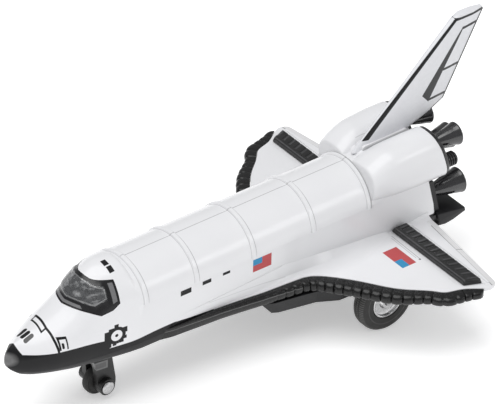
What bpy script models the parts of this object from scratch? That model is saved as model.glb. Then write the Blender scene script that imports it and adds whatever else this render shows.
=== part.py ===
"""A die-cast pull-back toy of a space shuttle orbiter, parked on its three wheels.

Metres, nose along +X, port side +Y, up +Z. The origin is on the floor under the middle of
the model. Sizes are given in millimetres and placed by three measures from a point just
ahead of the nose: d behind it, y out from the centre plane (port positive) and z above it.
"""

import bpy
import bmesh
from math import cos, hypot, pi, radians, sin
from mathutils import Vector

# Driving sizes of the whole model, millimetres
MM = 0.001
NOSE_TIP = 1.0
FIN_TIP = 203.2
MIDDLE = (NOSE_TIP + FIN_TIP) / 2
NOSE_HEIGHT = 30.4
GAP = 0.3
SIDES = {"port": 1.0, "starboard": -1.0}

# The metal body meets the black base in one level plane
PARTING = -5.2
KEEL = -8.0

# Payload bay: five raised frames over doors that stand proud of the side walls
BAY_START = 47.5
BAY_END = 146.0
BAY_SIDE = 13.8
BAY_SHOULDER = 10.6
BAY_TOP_FRONT = 22.0
BAY_TOP_REAR = 23.2
BAY_FRAMES = (49.2, 70.4, 94.6, 120.2, 144.4)
FRAME_HALF = 0.75
FRAME_RAMP = 0.4
FRAME_PROUD = 0.5
DOOR_PROUD = 0.45
DOOR_LIP = 0.35
ARC_STEPS = 8

# Aft end: fuselage and pods end in planes that lean forward at the top
AFT_FOOT = 173.7
AFT_LEAN = 0.25
POD_FOOT = 181.3
POD_LEAN = 0.31

# Wing: a thin metal top plate on a black lower half with a fluted leading edge
WING_TOP = -4.0
WING_ROOT_D = 171.3
RIB_PITCH = 3.9
RIB_DEPTH = 0.55
BAR_FRONT = 155.1
BAR_REAR = 161.0
BAR_INNER = 14.2
BAR_OUTER_FRONT = 53.3
BAR_OUTER_REAR = 55.8
BAR_HEIGHT = 1.9
BAR_RIBS = 12
ELEVON_FRONT = 161.7
TIP_RISE_START = 40.0
TIP_BOTTOM = -6.8

# Cockpit
GLASS_WALL = 1.0
CAVITY_FRONT = 28.5
CAVITY_REAR = 40.2
CAVITY_HALF = 8.4
CAVITY_FLOOR = 5.5

# Fin
FIN_SEAT = 24.1
FIN_HALF = 1.5

# Rear end
BELL_STEPS = 20
BELL_WALL = 0.8
FLAP_HALF = 14.4
BULKHEAD_FOOT = -4.3

# Running gear
NOSE_AXLE_D = 39.25
NOSE_WHEEL_R = 5.5
NOSE_WHEEL_HALF = 1.7
FORK_SLOT_HALF = 2.1
FORK_SLOT_TOP = -16.0
FORK_HALF = 4.6
FORK_EYE_R = 3.7
FORK_EYE_D = 40.1
BOSS_R = 3.1
BOSS_REACH = 6.3
PIN_R = 0.9
RUNNING = 0.2
MAIN_AXLE_D = 141.7
MAIN_WHEEL_R = 11.6
MAIN_HUB_R = 6.3
MAIN_INNER_Y = 24.0
MAIN_OUTER_Y = 30.0
WELL_SPARE = 0.6
MAIN_AXLE_R = 1.2
MOTOR_HALF = 9.5
MOTOR_FRONT = 133.5
MOTOR_REAR = 155.0
MOTOR_BOTTOM = -26.0
COVER_BOTTOM = -13.6

NOSE_AXLE_Z = NOSE_WHEEL_R - NOSE_HEIGHT
MAIN_AXLE_Z = MAIN_WHEEL_R - NOSE_HEIGHT
WELL_R = MAIN_WHEEL_R + WELL_SPARE

# Hull sections: d, keel z, belly half width, side half width, chine z, shoulder z, top z,
# and how much flatter than an ellipse the arch is (1.0 is an ellipse)
NOSE_SECTIONS = (
    (NOSE_TIP, -1.9, 0.3, 0.4, -0.8, -0.3, 0.7, 1.2),
    (1.9, -3.8, 0.8, 1.5, -0.9, -0.1, 2.6, 1.4),
    (3.4, -5.3, 1.4, 2.8, -0.9, 0.0, 4.1, 1.5),
    (5.8, -6.8, 2.3, 4.8, -0.9, 0.2, 5.4, 1.45),
    (10.3, -7.6, 4.0, 7.5, -0.7, 0.8, 6.8, 1.25),
    (16.5, -7.8, 6.4, 9.9, -0.4, 1.4, 9.2, 1.05),
    (24.0, KEEL, 8.8, 11.3, 0.0, 2.4, 13.2, 1.0),
    (29.0, KEEL, 9.9, 11.9, 0.0, 3.4, 18.2, 1.15),
    (33.0, KEEL, 10.8, 12.4, 0.0, 4.6, 21.9, 1.12),
    (36.5, KEEL, 11.5, 12.8, 0.0, 6.0, 23.6, 1.06),
    (41.0, KEEL, 12.3, 13.3, 0.0, 7.6, 24.2, 1.0),
    (45.5, KEEL, 12.9, 13.7, 0.0, 9.0, 23.9, 1.0),
    (46.6, KEEL, 13.0, BAY_SIDE, 0.0, 10.0, 22.4, 1.0),
)
# Aft body behind the payload bay, same columns
AFT_SECTIONS = (
    (147.0, KEEL, 13.2, BAY_SIDE, 0.0, BAY_SHOULDER, 23.5, 1.0),
    (151.0, KEEL, 13.2, BAY_SIDE, 0.0, BAY_SHOULDER, FIN_SEAT, 1.0),
)
# Port pod sections: d, outer y, top z, inner y, bottom z
POD_SECTIONS = (
    (145.0, 15.6, 24.4, 0.6, 11.6),
    (149.0, 16.5, 26.8, 0.8, 11.0),
    (155.0, 17.2, 28.8, 1.2, 10.4),
    (165.0, 17.5, 29.5, 1.6, 10.0),
)
POD_STEPS = 20
# Side outline of the cockpit window band: d, z
WINDOW_OUTLINE = (
    (20.0, 15.4), (24.6, 13.7), (28.2, 12.5), (32.8, 10.7), (39.8, 13.6),
    (40.0, 20.9), (33.3, 21.2), (32.4, 22.4), (32.4, 27.0), (20.0, 27.0),
)
# Plan of the nose in front of the window, whose sill runs back in a V from the centre plane: d, y
SILL_PLAN = ((15.0, 20.0), (34.9, 20.0), (23.7, 0.0), (34.9, -20.0), (15.0, -20.0))
# Edge of the metal wing top from glove to tip: d, y, width of the black edge beyond it
WING_EDGE = (
    (62.0, 13.7, 0.5), (78.0, 13.95, 1.8), (88.0, 14.9, 2.1), (98.0, 16.1, 2.4), (107.0, 16.7, 3.2),
    (113.4, 17.2, 3.8), (116.4, 18.1, 4.2), (118.6, 19.5, 4.4), (120.7, 21.3, 4.8), (127.3, 29.0, 5.2),
    (136.1, 41.2, 4.9), (144.5, 48.8, 4.0), (147.9, 52.3, 4.6), (154.1, 54.4, 4.1), (160.0, 58.3, 2.2),
)
# Fairing between body and wing: d, z against the body's side, y where it meets the wing top, how far it
# hollows between them and how far its section leans back for each millimetre of height
FAIRING = (
    (60.0, -3.6, 13.82, 0.25, 0.0), (66.0, -2.4, 13.83, 0.25, 0.0), (78.0, -1.6, 13.86, 0.25, 0.0),
    (88.0, -1.2, 14.75, 0.25, 0.0), (98.0, -1.0, 15.95, 0.25, 0.0), (107.0, -1.0, 16.55, 0.25, 0.0),
    (113.4, -1.0, 17.0, 0.25, 0.0), (116.4, -1.1, 17.8, 0.25, 0.0), (118.6, -1.3, 19.0, 0.25, 0.0),
    (123.0, -1.6, 21.0, 0.25, 0.0), (135.0, -2.0, 22.0, 0.25, 0.0), (148.0, -2.5, 17.0, 0.2, 0.0),
    (153.4, -3.5, 15.2, 0.15, 0.0), (154.5, -4.3, 14.8, 0.0, 0.0), (161.4, -4.3, 15.0, 0.0, 0.0),
    (162.2, -2.2, 16.2, 0.1, 0.05), (166.5, 1.4, 17.5, 0.06, 0.1), (171.0, 5.0, 19.0, 0.04, 0.15),
)
# Rounded tip of the outboard elevon: d, y
TIP_ROUND = ((160.5, 58.5), (162.2, 59.2), (164.2, 58.8), (165.4, 57.9))
WING_TIP = (165.8, 56.8)
WING_REAR = (170.7, 19.7)
# Fin levels: z, leading edge d, trailing edge d
FIN_LEVELS = (
    (FIN_SEAT + GAP, 147.3, 169.6), (26.0, 148.9, 172.4), (29.6, 152.8, 182.2), (32.2, 155.6, 187.2),
    (63.0, 188.8, FIN_TIP), (64.5, 191.6, 202.4),
)
# Body flap in side view: d, z
FLAP_OUTLINE = (
    (175.3, -4.9), (176.1, -8.0), (175.6, -9.8), (179.0, -10.4), (182.6, -9.9), (188.0, -8.2), (187.7, -6.6),
)
# Motor cover's port outline against the belly and at its lower face: d, y
COVER_TOP_EDGE = (
    (96.3, 16.8), (100.5, 19.0), (110.5, 20.8), (116.4, 22.0), (123.5, 25.8), (130.8, 26.0), (132.8, 18.4),
    (160.0, 18.4), (162.0, 12.0),
)
COVER_FOOT_EDGE = (
    (100.6, 17.0), (102.8, 18.2), (110.8, 19.8), (116.8, 21.0), (124.0, 24.8), (130.0, 25.0), (132.0, 17.4),
    (159.0, 17.4), (161.0, 11.5),
)
# Bells: name, root d, d where the flare starts, rim d, y, z, rim radius
BELLS = (
    ("main_engine_top", 172.9, 178.8, 190.8, 0.0, 14.8, 4.7),
    ("main_engine_port", 176.5, 178.2, 190.0, 7.4, 0.3, 4.7),
    ("main_engine_starboard", 176.5, 178.2, 190.0, -7.4, 0.3, 4.7),
    ("oms_nozzle_port", 176.5, 178.0, 187.2, 8.1, 21.4, 4.2),
    ("oms_nozzle_starboard", 176.5, 178.0, 187.2, -8.1, 21.4, 4.2),
)


def world(d, y, z):
    """Millimetres from the point ahead of the nose, turned into metres in the model's frame."""
    return Vector(((MIDDLE - d) * MM, y * MM, (NOSE_HEIGHT + z) * MM))


for old in list(bpy.data.objects):
    bpy.data.objects.remove(old, do_unlink=True)

model = bpy.data.collections.new("toy_space_shuttle")
bpy.context.scene.collection.children.link(model)
cutters = bpy.data.collections.new("cutters")
bpy.context.scene.collection.children.link(cutters)


def finish(name, colour, roughness, metallic):
    """One plain surface finish."""
    made = bpy.data.materials.new(name)
    made.use_nodes = True
    shader = made.node_tree.nodes["Principled BSDF"]
    shader.inputs["Base Color"].default_value = (*colour, 1.0)
    shader.inputs["Roughness"].default_value = roughness
    shader.inputs["Metallic"].default_value = metallic
    made.diffuse_color = (*colour, 1.0)
    return made


FINISHES = {
    "enamel": ((0.86, 0.86, 0.88), 0.25, 0.0),
    "fin_plastic": ((0.80, 0.81, 0.84), 0.35, 0.0),
    "black_plastic": ((0.02, 0.02, 0.022), 0.3, 0.0),
    "smoked_window": ((0.10, 0.11, 0.12), 0.08, 0.0),
    "interior": ((0.05, 0.05, 0.06), 0.6, 0.0),
    "chrome": ((0.82, 0.82, 0.84), 0.12, 1.0),
    "steel": ((0.60, 0.60, 0.62), 0.25, 1.0),
    "tyre": ((0.025, 0.025, 0.025), 0.65, 0.0),
}


def add(name, mesh, kind):
    """Put a mesh in the model as one named piece with a finish of its own."""
    piece = bpy.data.objects.new(name, mesh)
    model.objects.link(piece)
    colour, roughness, metallic = FINISHES[kind]
    mesh.materials.clear()
    mesh.materials.append(finish(name + "_" + kind, colour, roughness, metallic))
    return piece


def hide(piece):
    """Make a piece a cutter, which is no part of the model."""
    model.objects.unlink(piece)
    cutters.objects.link(piece)
    piece.hide_render = True
    piece.display_type = "WIRE"
    return piece


def combine(piece, other, operation):
    """Boolean a piece with another object, which becomes a cutter."""
    step = piece.modifiers.new(operation.lower() + "_" + other.name, "BOOLEAN")
    step.operation = operation
    step.solver = "EXACT"
    step.object = other
    if other.name in model.objects:
        hide(other)
    return piece


def loft(name, rings, kind):
    """Skin a row of rings with equal point counts and close both ends."""
    bm = bmesh.new()
    rows = [[bm.verts.new(world(*point)) for point in ring] for ring in rings]
    count = len(rings[0])
    for near, far in zip(rows, rows[1:]):
        for i in range(count):
            j = (i + 1) % count
            bm.faces.new((near[i], near[j], far[j], far[i]))
    bm.faces.new(rows[0])
    bm.faces.new(rows[-1])
    bmesh.ops.recalc_face_normals(bm, faces=bm.faces)
    mesh = bpy.data.meshes.new(name)
    bm.to_mesh(mesh)
    bm.free()
    return add(name, mesh, kind)


def plate(name, outline, low, high, kind):
    """A level plate: an outline of (d, y) points between two heights."""
    return loft(name, [[(d, y, low) for d, y in outline], [(d, y, high) for d, y in outline]], kind)


def side_plate(name, outline, inner, outer, kind):
    """An upright plate: an outline of (d, z) points between two y values."""
    return loft(name, [[(d, inner, z) for d, z in outline], [(d, outer, z) for d, z in outline]], kind)


def block(name, front, rear, low_y, high_y, low, high, kind):
    """A box between two distances, two y values and two heights."""
    bm = bmesh.new()
    bmesh.ops.create_cube(bm, size=1.0)
    corner_a = world(front, high_y, high)
    corner_b = world(rear, low_y, low)
    bmesh.ops.scale(bm, vec=corner_a - corner_b, verts=bm.verts)
    bmesh.ops.translate(bm, vec=(corner_a + corner_b) / 2, verts=bm.verts)
    mesh = bpy.data.meshes.new(name)
    bm.to_mesh(mesh)
    bm.free()
    return add(name, mesh, kind)


def turned(name, profile, axis, d, z, steps, kind):
    """A turned ring or disc: (along, radius) points spun about an axis through (d, z).

    The axis is "x", with along as d, or "y", with along as y.
    """
    ring = []
    for step in range(steps):
        angle = 2 * pi * step / steps
        side, lift = cos(angle), sin(angle)
        if axis == "x":
            ring.append([(along, d + radius * side, z + radius * lift) for along, radius in profile])
        else:
            ring.append([(d + radius * side, along, z + radius * lift) for along, radius in profile])
    bm = bmesh.new()
    rows = [[bm.verts.new(world(*point)) for point in line] for line in ring]
    count = len(profile)
    for step in range(steps):
        near, far = rows[step], rows[(step + 1) % steps]
        for i in range(count):
            j = (i + 1) % count
            bm.faces.new((near[i], near[j], far[j], far[i]))
    bmesh.ops.remove_doubles(bm, verts=bm.verts, dist=1e-7)
    bmesh.ops.recalc_face_normals(bm, faces=bm.faces)
    mesh = bpy.data.meshes.new(name)
    bm.to_mesh(mesh)
    bm.free()
    return add(name, mesh, kind)


def hull_ring(d, keel, belly, side, chine, shoulder, top, flatter=1.0, proud=0.0, lean=0.0, inset=0.0):
    """One closed section: flat belly, rounded lower corner, upright side and an arched top."""
    side -= inset
    top -= inset
    half = [(belly, keel)]
    for turn in (radians(35), radians(65)):
        half.append((belly + (side - belly) * sin(turn), chine - (chine - keel) * cos(turn)))
    half.append((side, chine))
    half.append((side, shoulder - DOOR_LIP))
    for step in range(ARC_STEPS):
        turn = pi / 2 * step / ARC_STEPS
        half.append(((side + proud) * cos(turn) ** flatter, shoulder + (top - shoulder) * sin(turn) ** flatter))
    ring = half + [(0.0, top)] + [(-y, z) for y, z in reversed(half)]
    return [(d - lean * z, y, z) for y, z in ring]


def bay_sections():
    """The payload bay's rings: doors proud of the sides, frames proud of the doors."""
    rings = []
    for frame in BAY_FRAMES:
        reach = FRAME_HALF + FRAME_RAMP
        for d, lift in ((frame - reach, 0.0), (frame - FRAME_HALF, FRAME_PROUD),
                        (frame + FRAME_HALF, FRAME_PROUD), (frame + reach, 0.0)):
            share = (d - BAY_START) / (BAY_END - BAY_START)
            top = BAY_TOP_FRONT + (BAY_TOP_REAR - BAY_TOP_FRONT) * share + lift
            rings.append(hull_ring(d, KEEL, 13.2, BAY_SIDE, 0.0, BAY_SHOULDER, top, 1.0, DOOR_PROUD + lift))
    return rings


def hull(name, kind):
    """The whole fuselage from nose to tail, before it is split along the parting plane."""
    rings = [hull_ring(*section) for section in NOSE_SECTIONS]
    rings += bay_sections()
    rings += [hull_ring(*section) for section in AFT_SECTIONS]
    rings.append(hull_ring(AFT_FOOT, *AFT_SECTIONS[-1][1:], lean=AFT_LEAN))
    return loft(name, rings, kind)


def split(piece, height, keep_above):
    """Cut a piece with a level plane and close the cut."""
    bm = bmesh.new()
    bm.from_mesh(piece.data)
    bmesh.ops.bisect_plane(bm, geom=bm.verts[:] + bm.edges[:] + bm.faces[:], plane_co=world(0, 0, height),
                           plane_no=(0, 0, 1), clear_inner=keep_above, clear_outer=not keep_above)
    rim = [edge for edge in bm.edges if edge.is_boundary]
    bmesh.ops.holes_fill(bm, edges=rim, sides=0)
    bmesh.ops.recalc_face_normals(bm, faces=bm.faces)
    bm.to_mesh(piece.data)
    bm.free()


def outward(points, index):
    """Unit normal of the wing's edge at one point, pointing forward and outboard."""
    ahead = points[max(index - 1, 0)]
    behind = points[min(index + 1, len(points) - 1)]
    run, rise = behind[0] - ahead[0], behind[1] - ahead[1]
    size = hypot(run, rise)
    return -rise / size, run / size


def mirrored(points):
    """A port outline closed over the centre plane."""
    return list(points) + [(d, -y) for d, y in reversed(points)]


def wing_outline(grow, rear):
    """Port outline of the wing and glove, grown beyond the metal's edge and ended by the points in rear."""
    points = []
    for index, (d, y, strip) in enumerate(WING_EDGE):
        out_d, out_y = outward(WING_EDGE, index)
        points.append((d + out_d * grow, y + out_y * grow))
    return points + rear


def elevon(name, sign):
    """The lower half of one pair of elevons: a long wedge that is thin at the rear and the tip."""
    rings = []
    for y, rear, hinge_z in ((14.1, WING_ROOT_D, -7.2), (WING_REAR[1], WING_REAR[0], -7.2),
                             (WING_TIP[1], WING_TIP[0], -6.0)):
        ring = [(ELEVON_FRONT, WING_TOP - 0.3), (rear, WING_TOP - 0.3), (rear, PARTING), (ELEVON_FRONT, hinge_z)]
        rings.append([(d, sign * y, z) for d, z in ring])
    return loft(name, rings, "enamel")


def fairing(name, sign):
    """The hollow curve between the body's side and the wing top."""
    rings = []
    for d, root_z, outer, hollow, lean in FAIRING:
        half_y, half_z = (13.8 + outer) / 2, (root_z + WING_TOP) / 2 - hollow * (root_z - WING_TOP)
        ring = [(12.0, WING_TOP - 0.6), (12.0, root_z), (13.7, root_z), (half_y, half_z),
                (outer, min(root_z, WING_TOP + 0.02)), (outer, WING_TOP - 0.6)]
        rings.append([(d + lean * (z - WING_TOP), sign * y, z) for y, z in ring])
    return loft(name, rings, "enamel")


def tip_wedge(name, sign):
    """The space under a wing tip, where the underside slopes up."""
    low = KEEL - 1.0
    section = [(TIP_RISE_START, KEEL), (60.0, TIP_BOTTOM), (60.0, low), (TIP_RISE_START, low)]
    rings = [[(d, sign * y, z) for y, z in section] for d in (120.0, 175.0)]
    return loft(name, rings, "black_plastic")


def pod_ring(d, outer, top, inner, bottom, lean=0.0):
    """One section of a pod, a rounded oval in the cross plane."""
    middle_y, half_y = (outer + inner) / 2, (outer - inner) / 2
    middle_z, half_z = (top + bottom) / 2, (top - bottom) / 2
    ring = []
    for step in range(POD_STEPS):
        turn = 2 * pi * step / POD_STEPS
        cosine, sine = cos(turn), sin(turn)
        y = middle_y + half_y * abs(cosine) ** 0.8 * (1 if cosine > 0 else -1)
        z = middle_z + half_z * abs(sine) ** 0.8 * (1 if sine > 0 else -1)
        ring.append((d - lean * z, y, z))
    return ring


def body_casting():
    """The white metal casting: fuselage, wing tops, elevons and the two pods."""
    casting = hull("body_casting", "enamel")
    split(casting, PARTING, keep_above=True)
    outline = wing_outline(0.0, [*TIP_ROUND, WING_TIP, WING_REAR, (WING_ROOT_D, 10.0)])
    wing = plate("wing_top", mirrored(outline), PARTING, WING_TOP, "enamel")
    combine(casting, wing, "UNION")
    for side, sign in SIDES.items():
        combine(casting, elevon("elevons_" + side, sign), "UNION")
        combine(casting, fairing("fairing_" + side, sign), "UNION")
        low, high = sorted((sign * (BAR_INNER - GAP), sign * 58.0))
        combine(casting, block("bar_seat_" + side, BAR_FRONT - GAP, BAR_REAR + GAP, low, high, WING_TOP, 0.0,
                               "enamel"), "DIFFERENCE")
        rings = [pod_ring(*section) for section in POD_SECTIONS]
        rings.append(pod_ring(POD_FOOT, *POD_SECTIONS[-1][1:], lean=POD_LEAN))
        rings = [[(d, sign * y, z) for d, y, z in ring] for ring in rings]
        combine(casting, loft("pod_" + side, rings, "enamel"), "UNION")
    for side, sign in SIDES.items():
        corner = [(172.5, sign * 14.4), (175.2, sign * 12.9), (176.4, sign * 12.9), (176.4, sign * 14.4)]
        combine(casting, plate("rear_corner_" + side, corner, PARTING - 1.0, 6.0, "enamel"), "DIFFERENCE")
    window = side_plate("window_opening", WINDOW_OUTLINE, -20.0, 20.0, "interior")
    combine(window, plate("nose_over_sill", SILL_PLAN, 5.0, 30.0, "interior"), "DIFFERENCE")
    combine(casting, window, "DIFFERENCE")
    cavity = block("cockpit_cavity", CAVITY_FRONT, CAVITY_REAR - GAP, -CAVITY_HALF, CAVITY_HALF,
                   CAVITY_FLOOR, 15.0, "interior")
    combine(casting, cavity, "DIFFERENCE")
    return casting


def shrink_outline(points, amount):
    """Move the points of a convex-looking outline towards its middle."""
    middle_d = sum(point[0] for point in points) / len(points)
    middle_z = sum(point[1] for point in points) / len(points)
    moved = []
    for d, z in points:
        size = hypot(middle_d - d, middle_z - z)
        moved.append((d + (middle_d - d) / size * amount, z + (middle_z - z) / size * amount))
    return moved


def cockpit():
    """The smoked window band and the dark tub with two seats behind it."""
    sections = [section for section in NOSE_SECTIONS if 16.0 < section[0] < 46.0]
    glass = loft("cockpit_glass", [hull_ring(*section) for section in sections], "smoked_window")
    band = side_plate("glass_band", shrink_outline(WINDOW_OUTLINE, GAP * 1.5), -20.0, 20.0, "interior")
    sill = [(d + GAP * 1.7, y) for d, y in SILL_PLAN]
    combine(band, plate("glass_sill", sill, 5.0, 30.0, "interior"), "DIFFERENCE")
    combine(glass, band, "INTERSECT")
    rings = [hull_ring(section[0] + GLASS_WALL, *section[1:], inset=GLASS_WALL) for section in sections]
    combine(glass, loft("glass_inside", rings, "interior"), "DIFFERENCE")

    tub = block("cockpit_tub", CAVITY_FRONT + GAP, CAVITY_REAR - 2 * GAP, -CAVITY_HALF + GAP, CAVITY_HALF - GAP,
                CAVITY_FLOOR + GAP, 9.0, "interior")
    dash = block("dash", 30.0, 32.4, -6.4, 6.4, 8.5, 12.0, "interior")
    combine(tub, dash, "UNION")
    for side, sign in SIDES.items():
        low, high = sorted((sign * 1.4, sign * 6.0))
        combine(tub, block("seat_" + side, 35.6, 37.6, low, high, 8.5, 16.0, "interior"), "UNION")


def belly_base():
    """The black plastic base: belly and the undersides of the wings in one moulding."""
    base = hull("belly_base", "black_plastic")
    split(base, PARTING - GAP, keep_above=False)
    hinge = ELEVON_FRONT - GAP
    outline = wing_outline(-0.1, [(hinge, WING_EDGE[-1][1] + 0.2), (hinge, 10.0)])
    under = plate("wing_underside", mirrored(outline), KEEL, PARTING - GAP, "black_plastic")
    combine(base, under, "UNION")
    for side, sign in SIDES.items():
        combine(base, tip_wedge("tip_space_" + side, sign), "DIFFERENCE")
        well = [(sign * (MAIN_INNER_Y - WELL_SPARE), 0.0), (sign * (MAIN_INNER_Y - WELL_SPARE), WELL_R),
                (sign * (MAIN_OUTER_Y + WELL_SPARE), WELL_R), (sign * (MAIN_OUTER_Y + WELL_SPARE), 0.0)]
        combine(base, turned("wheel_well_" + side, well, "y", MAIN_AXLE_D, MAIN_AXLE_Z, 48, "black_plastic"),
                "DIFFERENCE")


def leading_edges():
    """The fluted black leading edge along each glove and wing."""
    edge = WING_EDGE
    for side, sign in SIDES.items():
        inner, outer = [], []
        for index in range(len(edge) - 1):
            d0, y0, strip0 = edge[index]
            d1, y1, strip1 = edge[index + 1]
            n0 = outward(edge, index)
            n1 = outward(edge, index + 1)
            inner.append((d0 + n0[0] * GAP, y0 + n0[1] * GAP))
            run = hypot(d1 - d0, y1 - y0)
            steps = max(1, round(run / RIB_PITCH * 2))
            for step in range(steps):
                share = step / steps
                d = d0 + (d1 - d0) * share
                y = y0 + (y1 - y0) * share
                width = strip0 + (strip1 - strip0) * share
                normal = (n0[0] + (n1[0] - n0[0]) * share, n0[1] + (n1[1] - n0[1]) * share)
                groove = RIB_DEPTH if (len(outer) % 2 and width > 2.3) else 0.0
                reach = GAP + width - groove
                outer.append((d + normal[0] * reach, y + normal[1] * reach))
        d, y, width = edge[-1]
        normal = outward(edge, len(edge) - 1)
        inner.append((d + normal[0] * GAP, y + normal[1] * GAP))
        outer.append((d + normal[0] * (GAP + width), y + normal[1] * (GAP + width)))
        outline = [(d, sign * y) for d, y in outer + inner[::-1]]
        strip = plate("leading_edge_" + side, outline, KEEL, WING_TOP, "black_plastic")
        combine(strip, tip_wedge("strip_space_" + side, sign), "DIFFERENCE")


def wing_bars():
    """The ribbed black bar across each wing in front of the elevons."""
    for side, sign in SIDES.items():
        seat = WING_TOP + GAP
        top = seat + BAR_HEIGHT
        rings = []
        for d, end in ((BAR_FRONT, BAR_OUTER_FRONT), (BAR_REAR, BAR_OUTER_REAR)):
            outline = [(BAR_INNER, seat)]
            pitch = (end - BAR_INNER) / BAR_RIBS
            for rib in range(BAR_RIBS):
                start = BAR_INNER + rib * pitch
                outline += [(start, top), (start + pitch * 0.75, top),
                            (start + pitch * 0.75, top - 0.35), (start + pitch, top - 0.35)]
            outline.append((end, seat))
            rings.append([(d, sign * y, z) for y, z in outline])
        loft("wing_bar_" + side, rings, "black_plastic")


def tail_fin():
    """The fin with its moulded rudder, a thin wedge in plan."""
    rings = []
    for z, leading, trailing in FIN_LEVELS:
        chord = trailing - leading
        half = [(0.0, 0.35), (0.06, 0.8), (0.2, 1.0), (0.62, 0.95), (1.0, 0.35)]
        port = [(leading + chord * share, FIN_HALF * width, z) for share, width in half]
        rings.append(port + [(d, -y, z) for d, y, z in reversed(port)])
    loft("tail_fin", rings, "fin_plastic")


def rear_end():
    """The black rear bulkhead, pod tails, five nozzles and the body flap."""
    def leaning(foot, lean, outline, depth):
        return [[(foot + step - lean * z, y, z) for y, z in outline] for step in (GAP, depth)]

    panel = [(-12.7, BULKHEAD_FOOT), (12.7, BULKHEAD_FOOT), (13.0, 9.2), (9.0, 9.6), (1.4, 9.8), (1.4, 17.0),
             (-1.4, 17.0), (-1.4, 9.8), (-9.0, 9.6), (-13.0, 9.2)]
    loft("engine_bulkhead", leaning(AFT_FOOT, AFT_LEAN, panel, 2.4), "black_plastic")
    for side, sign in SIDES.items():
        flat = pod_ring(0.0, *POD_SECTIONS[-1][1:])
        middle_y, middle_z = 9.6, 20.8
        inner = [(sign * (middle_y + (y - middle_y) * 0.93), middle_z + (z - middle_z) * 0.93)
                 for _, y, z in flat]
        tail = loft("pod_tail_" + side, leaning(POD_FOOT, POD_LEAN, inner, 1.4), "black_plastic")
        low, high = sorted((sign * 10.4, sign * 15.7))
        combine(tail, block("thruster_" + side, 177.5, 182.6, low, high, 13.6, 18.2, "black_plastic"), "UNION")
    for name, root, flare, rim, y, z, radius in BELLS:
        length = rim - flare
        profile = [(root, 0.0), (root, radius * 0.38), (flare, radius * 0.42),
                   (flare + length * 0.3, radius * 0.7), (rim, radius), (rim, radius - BELL_WALL),
                   (flare + length * 0.4, radius * 0.7 - BELL_WALL), (flare + length * 0.25, 0.0)]
        turned(name, profile, "x", y, z, BELL_STEPS, "black_plastic")
    side_plate("body_flap", FLAP_OUTLINE, -FLAP_HALF, FLAP_HALF, "black_plastic")


def arc(centre_d, centre_z, radius, start, end, steps):
    """Points on an arc in the (d, z) plane, angles in degrees from +d towards +z."""
    points = []
    for step in range(steps + 1):
        turn = radians(start + (end - start) * step / steps)
        points.append((centre_d + radius * cos(turn), centre_z + radius * sin(turn)))
    return points


def nose_gear():
    """The two-legged nose fork, its pin and the small wheel between the legs."""
    top = KEEL - GAP
    outline = [(34.4, top), (34.8, -14.0), (35.8, -17.6), (36.2, -20.9), (36.4, -23.5)]
    outline += arc(FORK_EYE_D, NOSE_AXLE_Z, FORK_EYE_R, 180, 360, 10)
    outline += [(43.8, -23.4), (43.4, -21.0), (42.4, -15.1), (41.2, top)]
    fork = side_plate("nose_gear_fork", outline, -FORK_HALF, FORK_HALF, "black_plastic")
    slot = block("fork_slot", NOSE_AXLE_D - 9, NOSE_AXLE_D + 9, -FORK_SLOT_HALF, FORK_SLOT_HALF,
                 NOSE_AXLE_Z - 9, FORK_SLOT_TOP, "black_plastic")
    combine(fork, slot, "DIFFERENCE")
    for side, sign in SIDES.items():
        boss = [(sign * 3.4, 0.0), (sign * 3.4, BOSS_R), (sign * BOSS_REACH, BOSS_R), (sign * BOSS_REACH, 0.0)]
        combine(fork, turned("pin_boss_" + side, boss, "y", NOSE_AXLE_D, NOSE_AXLE_Z, 20, "black_plastic"),
                "UNION")
    bore_r = PIN_R + RUNNING
    bore = turned("fork_bore", [(-9, 0), (-9, bore_r), (9, bore_r), (9, 0)], "y", NOSE_AXLE_D, NOSE_AXLE_Z, 16,
                  "steel")
    combine(fork, bore, "DIFFERENCE")
    head = BOSS_REACH + GAP
    profile = [(-head - 0.5, 0), (-head - 0.5, 2.0), (-head - 0.25, 2.4), (-head, 2.4), (-head, PIN_R),
               (head, PIN_R), (head, 2.4), (head + 0.25, 2.4), (head + 0.5, 2.0), (head + 0.5, 0)]
    turned("nose_axle_pin", profile, "y", NOSE_AXLE_D, NOSE_AXLE_Z, 16, "steel")
    w = NOSE_WHEEL_HALF
    tread = [(-w, bore_r), (-w, NOSE_WHEEL_R - 0.8), (-w + 0.6, NOSE_WHEEL_R), (w - 0.6, NOSE_WHEEL_R),
             (w, NOSE_WHEEL_R - 0.8), (w, bore_r)]
    turned("nose_wheel", tread, "y", NOSE_AXLE_D, NOSE_AXLE_Z, 24, "tyre")


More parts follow.
